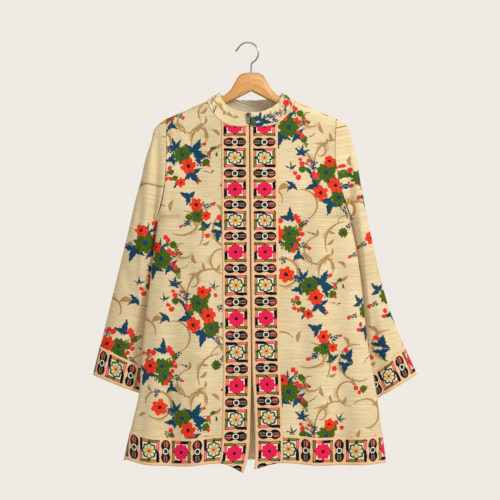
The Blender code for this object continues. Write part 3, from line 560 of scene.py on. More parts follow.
def tendrilGroup():  # part of a ring that can wind inwards, thin at its ends, with feathery leaves outside
    tree, given, wanted, place, x, y = newMotif("tendril", ("Sweep", "Curl", "Thick"))
    angle = maths(tree, "ARCTAN2", y, x)
    wound = maths(tree, "MULTIPLY_ADD", angle, given["Curl"], 1.0)
    radius = maths(tree, "MULTIPLY", wound, given["Size"])
    out = maths(tree, "SUBTRACT", vectors(tree, "LENGTH", place), radius)
    share = maths(tree, "DIVIDE", angle, given["Sweep"])
    taper = maths(tree, "MULTIPLY_ADD", maths(tree, "MULTIPLY", share, share), -0.65, 1.0)
    thick = maths(tree, "MULTIPLY", given["Thick"], taper)
    line = maths(tree, "SUBTRACT", maths(tree, "ABSOLUTE", out), thick)
    along = maths(tree, "MULTIPLY", angle, given["Size"])
    lean = maths(tree, "MULTIPLY", maths(tree, "MULTIPLY_ADD", out, -1.3, along), 190.0)
    phase = maths(tree, "ABSOLUTE", maths(tree, "SUBTRACT", maths(tree, "FRACT", lean), 0.5))
    patch = maths(tree, "MAXIMUM", maths(tree, "SINE", maths(tree, "MULTIPLY_ADD", along, 105.0, 0.8)), 0.0)
    longest = maths(tree, "MULTIPLY_ADD", maths(tree, "MULTIPLY", patch, taper), 0.0135, 0.0001)
    filled = maths(tree, "MULTIPLY_ADD", maths(tree, "DIVIDE", out, longest), 0.42, phase)
    leaves = maths(tree, "MULTIPLY", maths(tree, "SUBTRACT", filled, 0.40), 0.0053)
    leaves = maths(tree, "MAXIMUM", leaves, maths(tree, "MULTIPLY", out, -1.0))
    past = maths(tree, "SUBTRACT", maths(tree, "ABSOLUTE", angle), given["Sweep"])
    edge = maths(tree, "MINIMUM", line, leaves)
    edge = maths(tree, "MAXIMUM", edge, maths(tree, "MULTIPLY", past, given["Size"]))
    tree.links.new(edge, wanted["Edge"])
    return tree


# The print repeats in a half drop. Places and sizes of its motifs are in millimetres
repeat = {"across": 0.280, "down": 0.5786, "originX": -0.1408, "originZ": -0.2607}
drawing = {
    "calm": 0.003, "ragged": 0.0085,  # how far the noise shakes the outlines, in metres
    "tendril": 1.6, "tanLeaf": 1.05, "fan": 1.48,  # how much larger each kind is drawn than listed
    "blossom": {"green": 1.40, "orange": 1.26}, "dot": {"red": 1.22, "green": 1.45},
    "largeFan": 11, "largeFull": 0.6, "smallFull": 0.35,  # fans above this length have shorter notches
    "sprigPitch": 0.0074,
}
repeatCells = [(-0.105, -0.520), (0.035, -0.520), (-0.105, -0.230), (0.035, -0.230)]
blossoms = {  # x, y, radius, turn
    "green": [
        (-5, 13, 15, 5), (31, -121, 12, 20), (-50, -217, 17, 0), (33, -314, 16, 15), (61, -368, 14, 40),
        (-50, -452, 14, 10), (-43, -475, 14, 35), (72, -449, 8, 0), (128, -42, 14, 25),
        (118, -352, 13, 12),
    ],
    "orange": [
        (9, -12, 14.5, 12), (-7, -48, 9, 30), (27, -98, 12.5, 0), (49, -122, 9, 25), (-64, -192, 11, 10),
        (54, -341, 14.5, 5), (21, -361, 14, 33), (41, -289, 11, 20), (-77, -451, 14.5, 8),
        (-56, -541, 15, 18), (141, -61, 12, 10), (131, -371, 12, 22), (118, -487, 12, 0),
    ],
}
dots = {  # x, y, radius
    "red": [
        (-32, -14, 4.4), (-38, -36, 4.2), (-29, -39, 4.0), (54, 14, 3.6), (78, -127, 5.0), (52, -167, 4.6),
        (-41, -170, 4.4), (-34, -176, 4.0), (-33, -199, 4.2), (-25, -205, 4.6), (-19, -236, 4.6),
        (-28, -228, 3.6), (-20, -297, 4.6), (-24, -288, 3.4), (-36, -318, 4.0), (-28, -327, 5.2),
        (57, -286, 4.2), (70, -297, 3.6), (6, -319, 4.0), (14, -322, 3.6), (9, -328, 3.6),
        (-80, -421, 5.2), (-69, -423, 5.4), (-34, -414, 5.2), (-28, -423, 5.0), (-24, -441, 4.0),
        (-20, -452, 4.4), (-27, -463, 4.2), (-34, -478, 4.6), (-41, -489, 4.4), (112, -72, 4.4),
        (106, -83, 4.2), (152, -31, 4.6), (104, -331, 4.4), (148, -383, 4.2), (107, -395, 4.4),
        (100, -210, 4.4), (108, -219, 4.0), (44, 36, 3.4), (54, -12, 3.4), (-46, 32, 3.6), (96, -320, 3.4),
        (100, -366, 3.2), (-6, -290, 3.4), (-4, -484, 3.4), (-94, -424, 3.6), (170, -22, 3.4),
        (84, -56, 3.4), (146, -318, 3.4), (146, -464, 3.6), (86, -502, 3.4), (66, -96, 3.6),
        (-8, -146, 3.4), (-10, -204, 3.4), (34, -46, 3.4), (-92, -230, 3.6),
    ],
    "green": [
        (-29, -24, 4.2), (49, -5, 6.0), (-20, -38, 4.4), (11, -125, 5.0), (-24, -186, 5.4),
        (-16, -243, 5.6), (-20, -309, 5.4), (16, -336, 4.0), (50, -297, 6.4), (-22, -431, 5.0),
        (-31, -449, 5.2), (148, -21, 5.0), (98, -340, 4.8), (117, -212, 5.2), (66, 26, 3.0),
        (43, -150, 4.0),
    ],
}
blueFans = [  # x, y, length, turn, leaflets
    (-19, 28, 15, 110, 3.5), (20, 16, 20, 62, 2.5), (27, 4, 15, 15, 2.5), (-23, 6, 13, 185, 2.0),
    (14, -26, 18, -55, 2.5), (-14, -46, 10, -120, 2.0), (15, -84, 15, 150, 2.0), (12, -134, 9, 230, 3.5),
    (49, -150, 13, 120, 2.5), (79, -147, 15, 60, 2.0), (76, -156, 14, -95, 2.0),
    (-68, -232, 19, -100, 2.5), (-33, -231, 16, -40, 2.5), (-55, -200, 17, 85, 4.5),
    (-22, -276, 13, 80, 3.5), (-43, -308, 10, 100, 3.0), (-40, -342, 12, 230, 2.5),
    (16, -343, 18, 200, 2.5), (36, -334, 15, 20, 2.0), (45, -376, 20, -105, 2.5), (64, -281, 10, 70, 3.5),
    (4, -308, 10, 80, 3.0), (-47, -421, 17, 90, 2.5), (-83, -462, 20, -115, 2.0),
    (-33, -497, 12, -30, 2.0), (112, -27, 14, 125, 2.5), (128, -80, 17, -95, 2.5),
    (146, -353, 15, 40, 2.5), (128, -394, 15, -110, 2.5),
]
blueLeaves = [  # x, y, length, turn, half width, bend
    (4, -338, 46, 128, 4.2, 9), (36, 21, 34, 8, 1.0, 5), (70, 18, 12, -70, 2.4, 0),
    (58, 20, 10, 60, 2.0, 0), (40, -24, 26, -20, 1.0, -3), (60, -27, 8, 30, 2.0, 0),
    (-14, -240, 30, 30, 1.0, 4), (-12, -444, 24, -15, 1.0, 3), (2, -448, 9, -55, 2.2, 0),
    (-9, -210, 10, 40, 2.2, 0), (-4, -300, 12, 150, 2.0, 0),
]
tanTendrils = [  # x, y, radius, turn, half sweep, curl, thickness
    (14, 92, 30, 200, 95, 0.05, 1.3), (-14, 62, 17, 75, 90, 0.08, 1.3), (58, 40, 42, 150, 40, 0.0, 1.5),
    (-8, -122, 44, -60, 55, 0.03, 1.3), (-2, -196, 17, 210, 130, 0.14, 1.4),
    (-6, -158, 48, 25, 60, -0.03, 1.5), (62, -290, 52, 130, 62, 0.05, 1.5),
    (18, -268, 14, 10, 120, 0.16, 1.3), (-60, -536, 30, 20, 155, 0.0, 1.6),
    (78, -470, 46, 150, 58, 0.03, 1.5), (34, -528, 20, 60, 100, 0.10, 1.4),
    (-58, -316, 64, 20, 42, 0.0, 1.6), (104, -150, 40, 190, 110, 0.08, 1.5),
    (126, -270, 32, 20, 120, 0.10, 1.5), (100, -440, 36, 60, 100, 0.10, 1.4),
    (-64, -120, 34, 120, 80, 0.08, 1.3), (86, -218, 26, 170, 110, 0.12, 1.3),
    (-20, -390, 34, 20, 85, 0.06, 1.3), (66, -416, 30, 30, 80, 0.06, 1.3),
    (-88, -380, 28, 80, 90, 0.10, 1.3), (150, -170, 28, 60, 100, 0.12, 1.3),
]
tanLeaves = [  # x, y, length, turn, half width, bend
    (6, 118, 22, 70, 3.6, 4), (30, 60, 26, 60, 3.8, -4), (46, 46, 18, 95, 3.0, 3),
    (60, 28, 24, 20, 3.4, 5), (26, -150, 30, 120, 3.8, 6), (-30, -112, 28, 75, 4.2, -4),
    (20, -206, 24, -70, 4.0, 4), (38, -184, 20, 20, 3.0, 4), (26, -256, 20, 60, 3.4, 3),
    (50, -244, 22, 110, 3.4, -3), (70, -242, 16, 60, 3.0, 3), (10, -290, 20, -120, 3.4, 4),
    (38, -440, 20, -30, 3.2, 4), (34, -476, 22, 40, 3.6, 3), (60, -512, 24, -40, 3.6, -4),
    (44, -500, 18, 80, 3.0, 3), (-86, -556, 22, 200, 3.6, 4), (-40, -512, 18, 70, 3.2, 3),
    (-72, -508, 20, 120, 3.2, -3), (-44, -352, 30, 190, 6.0, 8), (84, -120, 26, 120, 3.8, 4),
    (92, -186, 24, -60, 3.8, 4), (138, -248, 24, 30, 3.8, 4), (112, -300, 24, -100, 3.6, 4),
    (84, -420, 24, 120, 3.6, 4), (126, -452, 22, -20, 3.4, 3),
]
greenSprigs = [  # x, y, length, turn
    (-36, -28, 16, 120), (54, 4, 15, 80), (14, -128, 15, -25), (-20, -190, 16, -60), (-14, -246, 16, -75),
    (-18, -306, 16, -30), (48, -300, 16, 65), (8, -330, 15, 10), (-30, -438, 17, 195), (150, -26, 15, -60),
    (100, -335, 16, 160), (114, -216, 16, 30), (-62, -470, 16, -100), (36, -104, 15, 60),
    (122, -488, 16, 110),
]
blueSprigs = [  # x, y, length, turn
    (24, 24, 20, 35), (30, -6, 20, -12), (-26, 22, 17, 150), (22, -34, 17, -50), (44, -104, 20, 20),
    (10, -138, 17, -150), (-30, -212, 20, 24), (-76, -224, 17, 200), (-40, -190, 17, 66),
    (74, -326, 20, 24), (80, -362, 17, -10), (12, -298, 18, 150), (70, -390, 17, -55), (-24, -434, 21, 36),
    (-22, -474, 19, -25), (-78, -434, 17, 130), (-60, -502, 17, -105), (82, -440, 15, 60),
    (148, -30, 20, 30), (102, -52, 17, 190), (148, -76, 15, -30), (100, -362, 17, 200),
    (148, -384, 17, -40), (136, -334, 17, 60), (130, -476, 17, 40), (104, -496, 17, 200),
]
inks = {
    "tan": inkColour(164, 124, 64),
    "blue": inkColour(0, 62, 92),
    "green": inkColour(66, 94, 10),
    "greenVein": inkColour(32, 64, 14),
    "orange": inkColour(232, 54, 24),
    "orangeVein": inkColour(184, 30, 20),
    "greenEye": inkColour(0, 62, 92),
    "orangeEye": inkColour(22, 18, 30),
    "red": inkColour(222, 44, 42),
}
bodyPrint = {
    "tendrils": tanTendrils, "tanLeaves": tanLeaves, "blueLeaves": blueLeaves, "fans": blueFans,
    "sprigs": {"blue": blueSprigs, "green": greenSprigs}, "dots": dots, "blossoms": blossoms,
}
# The collar's own print, placed from its left front end, and where x is below zero from its right end
collarPrint = {
    "tendrils": [(-58, -128, 150, 92, 16, 0.0, 1.5)],
    "tanLeaves": [
        (-18, 21, 13, 205, 3.2, 3), (-33, 23, 13, 150, 3.0, -3), (-47, 21, 14, 210, 3.2, 3),
        (-62, 22, 12, 150, 3.0, 3), (-80, 18, 13, 215, 3.2, -3), (-96, 14, 15, 130, 3.0, 3),
        (66, 9, 16, 40, 3.2, 3), (78, 15, 13, 130, 3.0, -3), (150, 10, 18, 60, 3.2, 4),
        (250, 12, 18, 130, 3.2, 4),
    ],
    "blueLeaves": [(52, 11, 14, -30, 2.2, 2), (118, 20, 12, 60, 2.0, 2)],
    "fans": [
        (18, 13, 13, 75, 2.5), (11, 12, 12, 165, 2.0), (27, 12, 12, -15, 2.0), (18, 6, 12, -85, 2.0),
        (47, 17, 10, 95, 3.5), (50, 13, 8, -20, 2.5), (86, 12, 8, 60, 3.5), (107, 24, 8, 80, 2.5),
        (190, 15, 8, 80, 3.5), (-86, 3, 6, 150, 2.5),
    ],
    "sprigs": {"blue": [
        (30, 20, 15, 20), (58, 20, 14, -20), (84, 4, 14, 60), (104, 12, 14, 20), (-100, 6, 13, 120),
    ]},
    "dots": {"red": [(94, 21, 5.4), (101, 15, 4.4), (110, 7, 4.2), (88, 25, 3.2), (200, 17, 3.6)],
             "green": [(3, 9, 5.4), (2, 16, 3.4), (113, 21, 4.6), (183, 11, 3.6)]},
    "blossoms": {},
}
petalShapes = {"green": (5.0, 0.22), "orange": (3.0, 0.30)}


def cellFor(x, y, corners):  # the repeat cell in which a motif lies furthest from the borders
    across, down = repeat["across"], repeat["down"]
    best = (-1.0, 0, (x, y, 0.0))
    for index, (left, bottom) in enumerate(corners):
        steps = -math.floor((x - left) / across)
        newX = x + steps * across
        newY = bottom + (y + steps * down / 2 - bottom) % down
        margin = min(newX - left, left + across - newX, newY - bottom, bottom + down - newY)
        if margin > best[0]:
            best = (margin, index, (newX, newY, 0.0))
    return best[1:]


def repeated(tree, place, corners):
    x, y = flatParts(tree, place)
    cells = []
    for left, bottom in corners:
        fromLeft, fromBottom = maths(tree, "SUBTRACT", x, left), maths(tree, "SUBTRACT", y, bottom)
        column = maths(tree, "FLOOR", maths(tree, "DIVIDE", fromLeft, repeat["across"]))
        cellX = maths(tree, "MULTIPLY_ADD", column, -repeat["across"], x)
        dropped = maths(tree, "MULTIPLY_ADD", column, -repeat["down"] / 2, fromBottom)
        cellY = maths(tree, "ADD", maths(tree, "FLOORED_MODULO", dropped, repeat["down"]), bottom)
        cells.append(addNode(tree, "CombineXYZ", {0: cellX, 1: cellY}).outputs[0])
    return cells or [place]


motifGroups = {
    "blossom": blossomGroup(), "leaf": leafGroup(), "fan": fanGroup(),
    "sprig": sprigGroup(), "tendril": tendrilGroup(),
}


def floralPrint(name, table, corners, origin, length=0.0):
    tree, given, wanted = newGroup(name, [("Place", "Vector")], [("Colour", "Color"), ("Ink", "Float")])
    start = vectors(tree, "SUBTRACT", given["Place"], origin)
    noise = addNode(tree, "TexNoise", {"Vector": start, "Scale": 150.0, "Detail": 2.0, "Roughness": 0.75})
    nudge = vectors(tree, "SUBTRACT", noise.outputs["Color"], (0.5, 0.5, 0.5))
    shake = [(drawing[way], drawing[way], 0.0) for way in ("calm", "ragged")]
    calm, ragged = [vectors(tree, "MULTIPLY_ADD", nudge, reach, start) for reach in shake]
    edges = {}

    def keep(ink, distance):
        edges[ink] = maths(tree, "MINIMUM", edges[ink], distance) if ink in edges else distance

    def placed(x, y):
        return cellFor((x if x > 0 or corners else x + length) / 1000, y / 1000, corners)

    def motif(kind, x, y, size, turn, **more):
        index, centre = placed(x, y)
        cosine, sine = math.cos(math.radians(turn)), math.sin(math.radians(turn))
        more.update({"Place": cells[index], "Centre": centre, "Size": size / 1000})
        more.update({"Along": (cosine, sine, 0.0), "Aside": (-sine, cosine, 0.0)})
        return useGroup(tree, motifGroups[kind], **more)

    def leaves(ink, rows, slim=1.0):
        for x, y, size, turn, width, bend in rows:
            more = {"Width": width * 4 * slim / 1000, "Bend": bend * 4 / 1000}
            keep(ink, motif("leaf", x, y, size, turn, **more)["Edge"])

    cells = repeated(tree, calm, corners)
    for x, y, size, turn, sweep, curl, thick in table["tendrils"]:
        more = {"Sweep": math.radians(sweep), "Curl": curl, "Thick": thick * drawing["tendril"] / 1000}
        keep("tan", motif("tendril", x, y, size, turn, **more)["Edge"])
    leaves("tan", table["tanLeaves"], drawing["tanLeaf"])
    cells = repeated(tree, ragged, corners)
    leaves("blue", table["blueLeaves"])
    for x, y, size, turn, leaflets in table["fans"]:
        full = drawing["largeFull"] if size > drawing["largeFan"] else drawing["smallFull"]
        made = motif("fan", x, y, size * drawing["fan"], turn, Leaflets=leaflets, Full=full)
        keep("blue", made["Edge"])
    for ink, rows in table["sprigs"].items():
        for x, y, size, turn in rows:
            keep(ink, motif("sprig", x, y, size, turn, Pitch=drawing["sprigPitch"])["Edge"])
    for ink, rows in table["dots"].items():
        for x, y, size in rows:
            index, centre = placed(x, y)
            away = vectors(tree, "DISTANCE", cells[index], centre)
            keep(ink, maths(tree, "SUBTRACT", away, size * drawing["dot"][ink] / 1000))
    for ink, rows in table["blossoms"].items():
        petals, notch = petalShapes[ink]
        for x, y, size, turn in rows:
            made = motif("blossom", x, y, size * drawing["blossom"][ink], turn, Petals=petals, Notch=notch)
            keep(ink, made["Edge"])
            keep(ink + "Vein", maths(tree, "MAXIMUM", made["Vein"], made["Edge"]))
            keep(ink + "Eye", made["Eye"])
    broken = addNode(tree, "TexNoise", {"Vector": start, "Scale": 420.0, "Detail": 1.0}).outputs[0]
    faded = {"Value": broken, "From Min": 0.40, "From Max": 0.56, "To Min": 0.75}
    faint = addNode(tree, "MapRange", faded)
    colour, ink = inks["tan"], maths(tree, "MULTIPLY", inside(tree, edges["tan"]), faint.outputs[0])
    for tint in ("blue", "green", "greenVein", "greenEye", "red", "orange", "orangeVein", "orangeEye"):
        if tint in edges:
            here = inside(tree, edges[tint])
            colour = mixColour(tree, here, colour, inks[tint])
            ink = maths(tree, "MAXIMUM", ink, here)
    tree.links.new(colour, wanted["Colour"])
    tree.links.new(ink, wanted["Ink"])
    return tree


weaveLook = {
    "slubs": (14.0, 420.0, 1.0), "threads": (55.0, 1500.0, 1.0), "clouds": 9.0,
    "slubShare": 0.62, "threadShare": 0.26, "cloudShare": 0.22, "weave": 7000.0, "weaveHeight": 0.12,
}


def slubWeave():  # uneven weft threads across the cloth, over a fine plain weave
    results = [("Tone", "Float"), ("Height", "Float")]
    tree, given, wanted = newGroup("slubWeave", [("Place", "Vector")], results)
    long = vectors(tree, "MULTIPLY", given["Place"], weaveLook["slubs"])
    slubs = addNode(tree, "TexNoise", {"Vector": long, "Scale": 1.0, "Detail": 3.0, "Roughness": 0.62})
    short = vectors(tree, "MULTIPLY", given["Place"], weaveLook["threads"])
    threads = addNode(tree, "TexNoise", {"Vector": short, "Scale": 1.0, "Detail": 2.0})
    soft = {"Vector": given["Place"], "Scale": weaveLook["clouds"], "Detail": 2.0}
    cloudy = addNode(tree, "TexNoise", soft)
    tone = maths(tree, "MULTIPLY", threads.outputs[0], weaveLook["threadShare"])
    tone = maths(tree, "MULTIPLY_ADD", slubs.outputs[0], weaveLook["slubShare"], tone)
    tone = maths(tree, "MULTIPLY_ADD", cloudy.outputs[0], weaveLook["cloudShare"], tone)
    spread = addNode(tree, "MapRange", {"Value": tone, "From Min": 0.40, "From Max": 0.72})
    tree.links.new(spread.outputs[0], wanted["Tone"])
    x, y = flatParts(tree, given["Place"])
    warp, weft = [maths(tree, "SINE", maths(tree, "MULTIPLY", way, weaveLook["weave"])) for way in (x, y)]
    fine = maths(tree, "MULTIPLY", maths(tree, "MULTIPLY", warp, weft), weaveLook["weaveHeight"])
    tree.links.new(maths(tree, "ADD", tone, fine), wanted["Height"])
    return tree


ribbonWidth = 0.058
ribbonRepeat = 0.07075  # from one flower to the next
ribbonColours = {
    "peach": inkColour(238, 204, 158),
    "blush": inkColour(244, 168, 136),
    "cream": inkColour(240, 234, 208),
    "navy": inkColour(12, 9, 20),
    "coral": inkColour(243, 112, 98),
    "olive": inkColour(112, 112, 38),
    "ochre": inkColour(192, 134, 66),
    "pink": inkColour(236, 32, 84),
    "pinkVein": inkColour(198, 20, 62),
    "teal": inkColour(14, 58, 76),
    "petal": inkColour(222, 214, 150),
    "heart": inkColour(236, 152, 92),
    "brown": inkColour(78, 52, 44),
    "ember": inkColour(186, 60, 62),
    "ash": inkColour(176, 160, 132),
}


def ribbonPattern():  # pink flowers and daisies in squares by turns, and a spindle between. Sizes in metres
    results = [("Colour", "Color"), ("Height", "Float")]
    tree, given, wanted = newGroup("ribbonPattern", [("Place", "Vector")], results)
    noise = addNode(tree, "TexNoise", {"Vector": given["Place"], "Scale": 160.0, "Detail": 1.0})
    nudge = vectors(tree, "SUBTRACT", noise.outputs["Color"], (0.5, 0.5, 0.5))
    drawn = vectors(tree, "MULTIPLY_ADD", nudge, (0.0022, 0.0022, 0.0), given["Place"])
    across, run = flatParts(tree, drawn)
    a = maths(tree, "MULTIPLY_ADD", across, 0.96, -0.0272)
    count = maths(tree, "FLOOR", maths(tree, "MULTIPLY_ADD", run, 1 / ribbonRepeat, 0.5))
    b = maths(tree, "MULTIPLY_ADD", count, -ribbonRepeat, run)
    daisy = maths(tree, "GREATER_THAN", maths(tree, "FLOORED_MODULO", count, 2.0), 0.5)
    sizeA, sizeB = maths(tree, "ABSOLUTE", a), maths(tree, "ABSOLUTE", b)

    def hollowSquare(halfA, halfB, hollow):
        bounds = []
        for along, out, half, size in ((sizeA, sizeB, halfA, halfB), (sizeB, sizeA, halfB, halfA)):
            bulge = maths(tree, "POWER", maths(tree, "DIVIDE", along, half), 2.0)
            bound = maths(tree, "MULTIPLY_ADD", bulge, hollow, size - hollow)
            bounds.append(maths(tree, "SUBTRACT", out, bound))
        return maths(tree, "MAXIMUM", *bounds)

    colour = ribbonColours["peach"]

    def paint(edge, name, softness=0.0002, where=None):
        nonlocal colour
        here = inside(tree, edge, softness)
        if where is not None:
            here = maths(tree, "MULTIPLY", here, where)
        colour = mixColour(tree, here, colour, ribbonColours[name])

    wave = maths(tree, "SINE", maths(tree, "MULTIPLY", a, 260.0))
    between = maths(tree, "SUBTRACT", maths(tree, "MULTIPLY_ADD", wave, 0.0008, sizeB), 0.0242)
    narrow = maths(tree, "SUBTRACT", sizeA, 0.0215)
    stripe = maths(tree, "SUBTRACT", maths(tree, "ABSOLUTE", between), 0.0008)
    paint(maths(tree, "MAXIMUM", stripe, narrow), "blush")
    # The square: a dark frame, a pale field and two coloured lens shapes along each side
    pink = maths(tree, "SUBTRACT", 1.0, daisy)
    paint(hollowSquare(0.0220, 0.0202, 0.0010), "navy")
    paint(hollowSquare(0.0168, 0.0156, 0.0006), "cream")
    falling = maths(tree, "GREATER_THAN", maths(tree, "MULTIPLY", a, b), 0.0)
    rising = maths(tree, "SUBTRACT", 1.0, falling)
    lenses = [
        (0.0199, 0.0103, 0.0033, 0.0096,
         {"coral": (pink, falling), "ochre": (daisy, falling), "olive": (daisy, rising)}),
        (0.0109, 0.0182, 0.0101, 0.0027,
         {"olive": (pink, falling), "ochre": (pink, rising), "coral": (daisy, rising)}),
    ]
    for middleA, middleB, halfA, halfB, tints in lenses:
        farA = maths(tree, "DIVIDE", maths(tree, "SUBTRACT", sizeA, middleA), halfA)
        farB = maths(tree, "DIVIDE", maths(tree, "SUBTRACT", sizeB, middleB), halfB)
        reach = vectors(tree, "LENGTH", addNode(tree, "CombineXYZ", {0: farA, 1: farB}).outputs[0])
        edge = maths(tree, "MULTIPLY", maths(tree, "SUBTRACT", reach, 1.0), min(halfA, halfB))
        paint(maths(tree, "SUBTRACT", edge, 0.0008), "navy")
        for tint, (flower, half) in tints.items():
            paint(edge, tint, where=maths(tree, "MULTIPLY", flower, half))
    # The flowers
    centred = addNode(tree, "CombineXYZ", {0: a, 1: b}).outputs[0]
    ring = vectors(tree, "LENGTH", centred)
    angle = maths(tree, "ARCTAN2", b, a)

    def lobes(pairs):
        return maths(tree, "ABSOLUTE", maths(tree, "COSINE", maths(tree, "MULTIPLY", angle, pairs)))

    def petals(lobe, radius, notch):
        outline = maths(tree, "MULTIPLY_ADD", lobe, radius * notch, radius * (1 - notch))
        return maths(tree, "SUBTRACT", ring, outline)

    def disc(radius):
        return maths(tree, "SUBTRACT", ring, radius)

    lobe = lobes(5.0)
    paint(petals(lobe, 0.0172, 0.15), "pink", where=pink)
    gap = maths(tree, "MULTIPLY", maths(tree, "MULTIPLY_ADD", lobe, 0.5, -0.06), ring)
    paint(maths(tree, "MAXIMUM", gap, disc(0.0136)), "pinkVein", where=pink)
    paint(disc(0.0032), "navy", where=pink)
    lobe = lobes(4.0)
    paint(petals(lobe, 0.0166, 0.15), "teal", where=daisy)
    paint(petals(lobe, 0.0131, 0.19), "petal", where=daisy)
    gap = maths(tree, "MULTIPLY", maths(tree, "MULTIPLY_ADD", lobe, 0.5, -0.13), ring)
    paint(maths(tree, "MAXIMUM", gap, disc(0.0142)), "teal", where=daisy)
    paint(disc(0.0060), "heart", where=daisy)
    paint(disc(0.0019), "navy", where=daisy)
    # The spindle between two squares
    away = maths(tree, "SUBTRACT", sizeB, ribbonRepeat / 2)

    def oval(middle, halfLength, halfHeight):
        length = maths(tree, "DIVIDE", maths(tree, "SUBTRACT", sizeA, middle), halfLength)
        height = maths(tree, "DIVIDE", away, halfHeight)
        reach = vectors(tree, "LENGTH", addNode(tree, "CombineXYZ", {0: length, 1: height}).outputs[0])
        return maths(tree, "MULTIPLY", maths(tree, "SUBTRACT", reach, 1.0), halfHeight)

    paint(oval(0.0113, 0.0117, 0.0102), "navy")
    warm = maths(tree, "GREATER_THAN", maths(tree, "MULTIPLY", a, away), 0.0)
    paint(oval(0.0138, 0.0070, 0.0050), "brown")
    paint(oval(0.0138, 0.0068, 0.0066), "ember", where=maths(tree, "MULTIPLY", warm, pink))
    streak = maths(tree, "SINE", maths(tree, "MULTIPLY", away, 1700.0))
    paint(oval(0.0140, 0.0068, 0.0052), "ash", where=maths(tree, "GREATER_THAN", streak, 0.72))
    eye = vectors(tree, "LENGTH", addNode(tree, "CombineXYZ", {0: a, 1: away}).outputs[0])
    rings = [(0.0079, "navy"), (0.0062, "cream"), (0.0043, "navy"), (0.0034, "teal"), (0.0013, "navy")]
    for radius, tint in rings:
        paint(maths(tree, "SUBTRACT", eye, radius), tint)
    # The pale edges with their stitched lines
    margin = maths(tree, "SUBTRACT", 0.0226, sizeA)
    paint(margin, "peach")
    dash = maths(tree, "FLOORED_MODULO", run, 0.0048)
    dash = maths(tree, "SUBTRACT", maths(tree, "ABSOLUTE", maths(tree, "SUBTRACT", dash, 0.0024)), 0.0015)
    height = 0.0
    for place in (0.0022, 0.0520, 0.0556):
        aside = maths(tree, "ABSOLUTE", maths(tree, "SUBTRACT", across, place))
        line = maths(tree, "SUBTRACT", aside, 0.00055)
        stitch = maths(tree, "MAXIMUM", line, dash)
        paint(stitch, "blush")
        height = maths(tree, "MAXIMUM", height, inside(tree, stitch, 0.0002))
    ribs = maths(tree, "SINE", maths(tree, "MULTIPLY", run, 5200.0))
    tree.links.new(colour, wanted["Colour"])
    tree.links.new(maths(tree, "MULTIPLY_ADD", ribs, 0.15, height), wanted["Height"])
    return tree


def woodGrain():
    inputs = [("Place", "Vector"), ("Pale", "Color"), ("Dark", "Color")]
    tree, given, wanted = newGroup("woodGrain", inputs, [("Colour", "Color"), ("Height", "Float")])
    stretched = vectors(tree, "MULTIPLY", given["Place"], (9.0, 130.0, 1.0))
    grain = addNode(tree, "TexNoise", {"Vector": stretched, "Scale": 1.0, "Detail": 4.0, "Roughness": 0.6})
    fine = vectors(tree, "MULTIPLY", given["Place"], (40.0, 1300.0, 1.0))
    pores = addNode(tree, "TexNoise", {"Vector": fine, "Scale": 1.0, "Detail": 2.0})
    tone = maths(tree, "MULTIPLY", pores.outputs[0], 0.25)
    tone = maths(tree, "MULTIPLY_ADD", grain.outputs[0], 0.75, tone)
    spread = addNode(tree, "MapRange", {"Value": tone, "From Min": 0.36, "From Max": 0.66}).outputs[0]
    tree.links.new(mixColour(tree, spread, given["Dark"], given["Pale"]), wanted["Colour"])
    tree.links.new(tone, wanted["Height"])
    return tree


def newMaterial(name, roughness, metallic=0.0, **constants):
    material = bpy.data.materials.new(name)
    material.use_nodes = True
    shader = material.node_tree.nodes["Principled BSDF"]
    shader.inputs["Roughness"].default_value = roughness
    shader.inputs["Metallic"].default_value = metallic
    for label, value in constants.items():
        shader.inputs[label.replace("_", " ")].default_value = value
    return material, material.node_tree, shader.inputs


def addBump(tree, inputs, height, strength, distance):
    bump = addNode(tree, "Bump", {"Height": height, "Strength": strength, "Distance": distance})
    tree.links.new(bump.outputs[0], inputs["Normal"])


def flatPlace(tree):
    return addNode(tree, "UVMap", uv_map="flat").outputs[0]


printOrigin = (repeat["originX"], repeat["originZ"], 0.0)
groups = {
    "print": floralPrint("floralPrint", bodyPrint, repeatCells, printOrigin),
    "weave": slubWeave(),
    "ribbon": ribbonPattern(),
    "wood": woodGrain(),
}
clothTones = {
    "face": {"shade": inkColour(204, 182, 137), "light": inkColour(238, 222, 186), "ink": 1.0},
    "reverse": {"shade": inkColour(212, 194, 154), "light": inkColour(238, 226, 198), "ink": 0.16},
    # The collar's inside has paler tones than the reverse: painted light, brightening a face that lies in
    # shade inside the neck
    "paintedLightNeckband": {"shade": inkColour(246, 229, 188), "light": inkColour(255, 247, 224), "ink": 0.10},
}


def clothMaterial(name, tones, pattern):
    material, tree, inputs = newMaterial(name, 0.72, Sheen_Weight=0.02, Sheen_Roughness=0.4)
    inputs["Specular IOR Level"].default_value = 0.08
    place = flatPlace(tree)
    weave = useGroup(tree, groups["weave"], Place=place)
    printed = useGroup(tree, pattern, Place=place)
    ground = mixColour(tree, weave["Tone"], tones["shade"], tones["light"])
    share = maths(tree, "MULTIPLY", printed["Ink"], tones["ink"])
    worn = addNode(tree, "MapRange", {"Value": weave["Tone"], "To Min": 1.0, "To Max": 0.975})
    share = maths(tree, "MULTIPLY", share, worn.outputs[0])
    tree.links.new(mixColour(tree, share, ground, printed["Colour"]), inputs["Base Color"])
    addBump(tree, inputs, weave["Height"], 0.35, 0.0006)
    return material


def ribbonMaterial():
    material, tree, inputs = newMaterial("ribbon", 0.62, Sheen_Weight=0.04, Sheen_Roughness=0.4)
    inputs["Specular IOR Level"].default_value = 0.1
    place = flatPlace(tree)
    pattern = useGroup(tree, groups["ribbon"], Place=place)
    weave = useGroup(tree, groups["weave"], Place=place)
    dusty = addNode(tree, "MapRange", {"Value": weave["Tone"], "To Min": 0.86, "To Max": 1.04}).outputs[0]
    shaded = mixColour(tree, 1.0, pattern["Colour"], dusty, "MULTIPLY")
    tree.links.new(shaded, inputs["Base Color"])
    addBump(tree, inputs, pattern["Height"], 0.4, 0.0004)
    return material


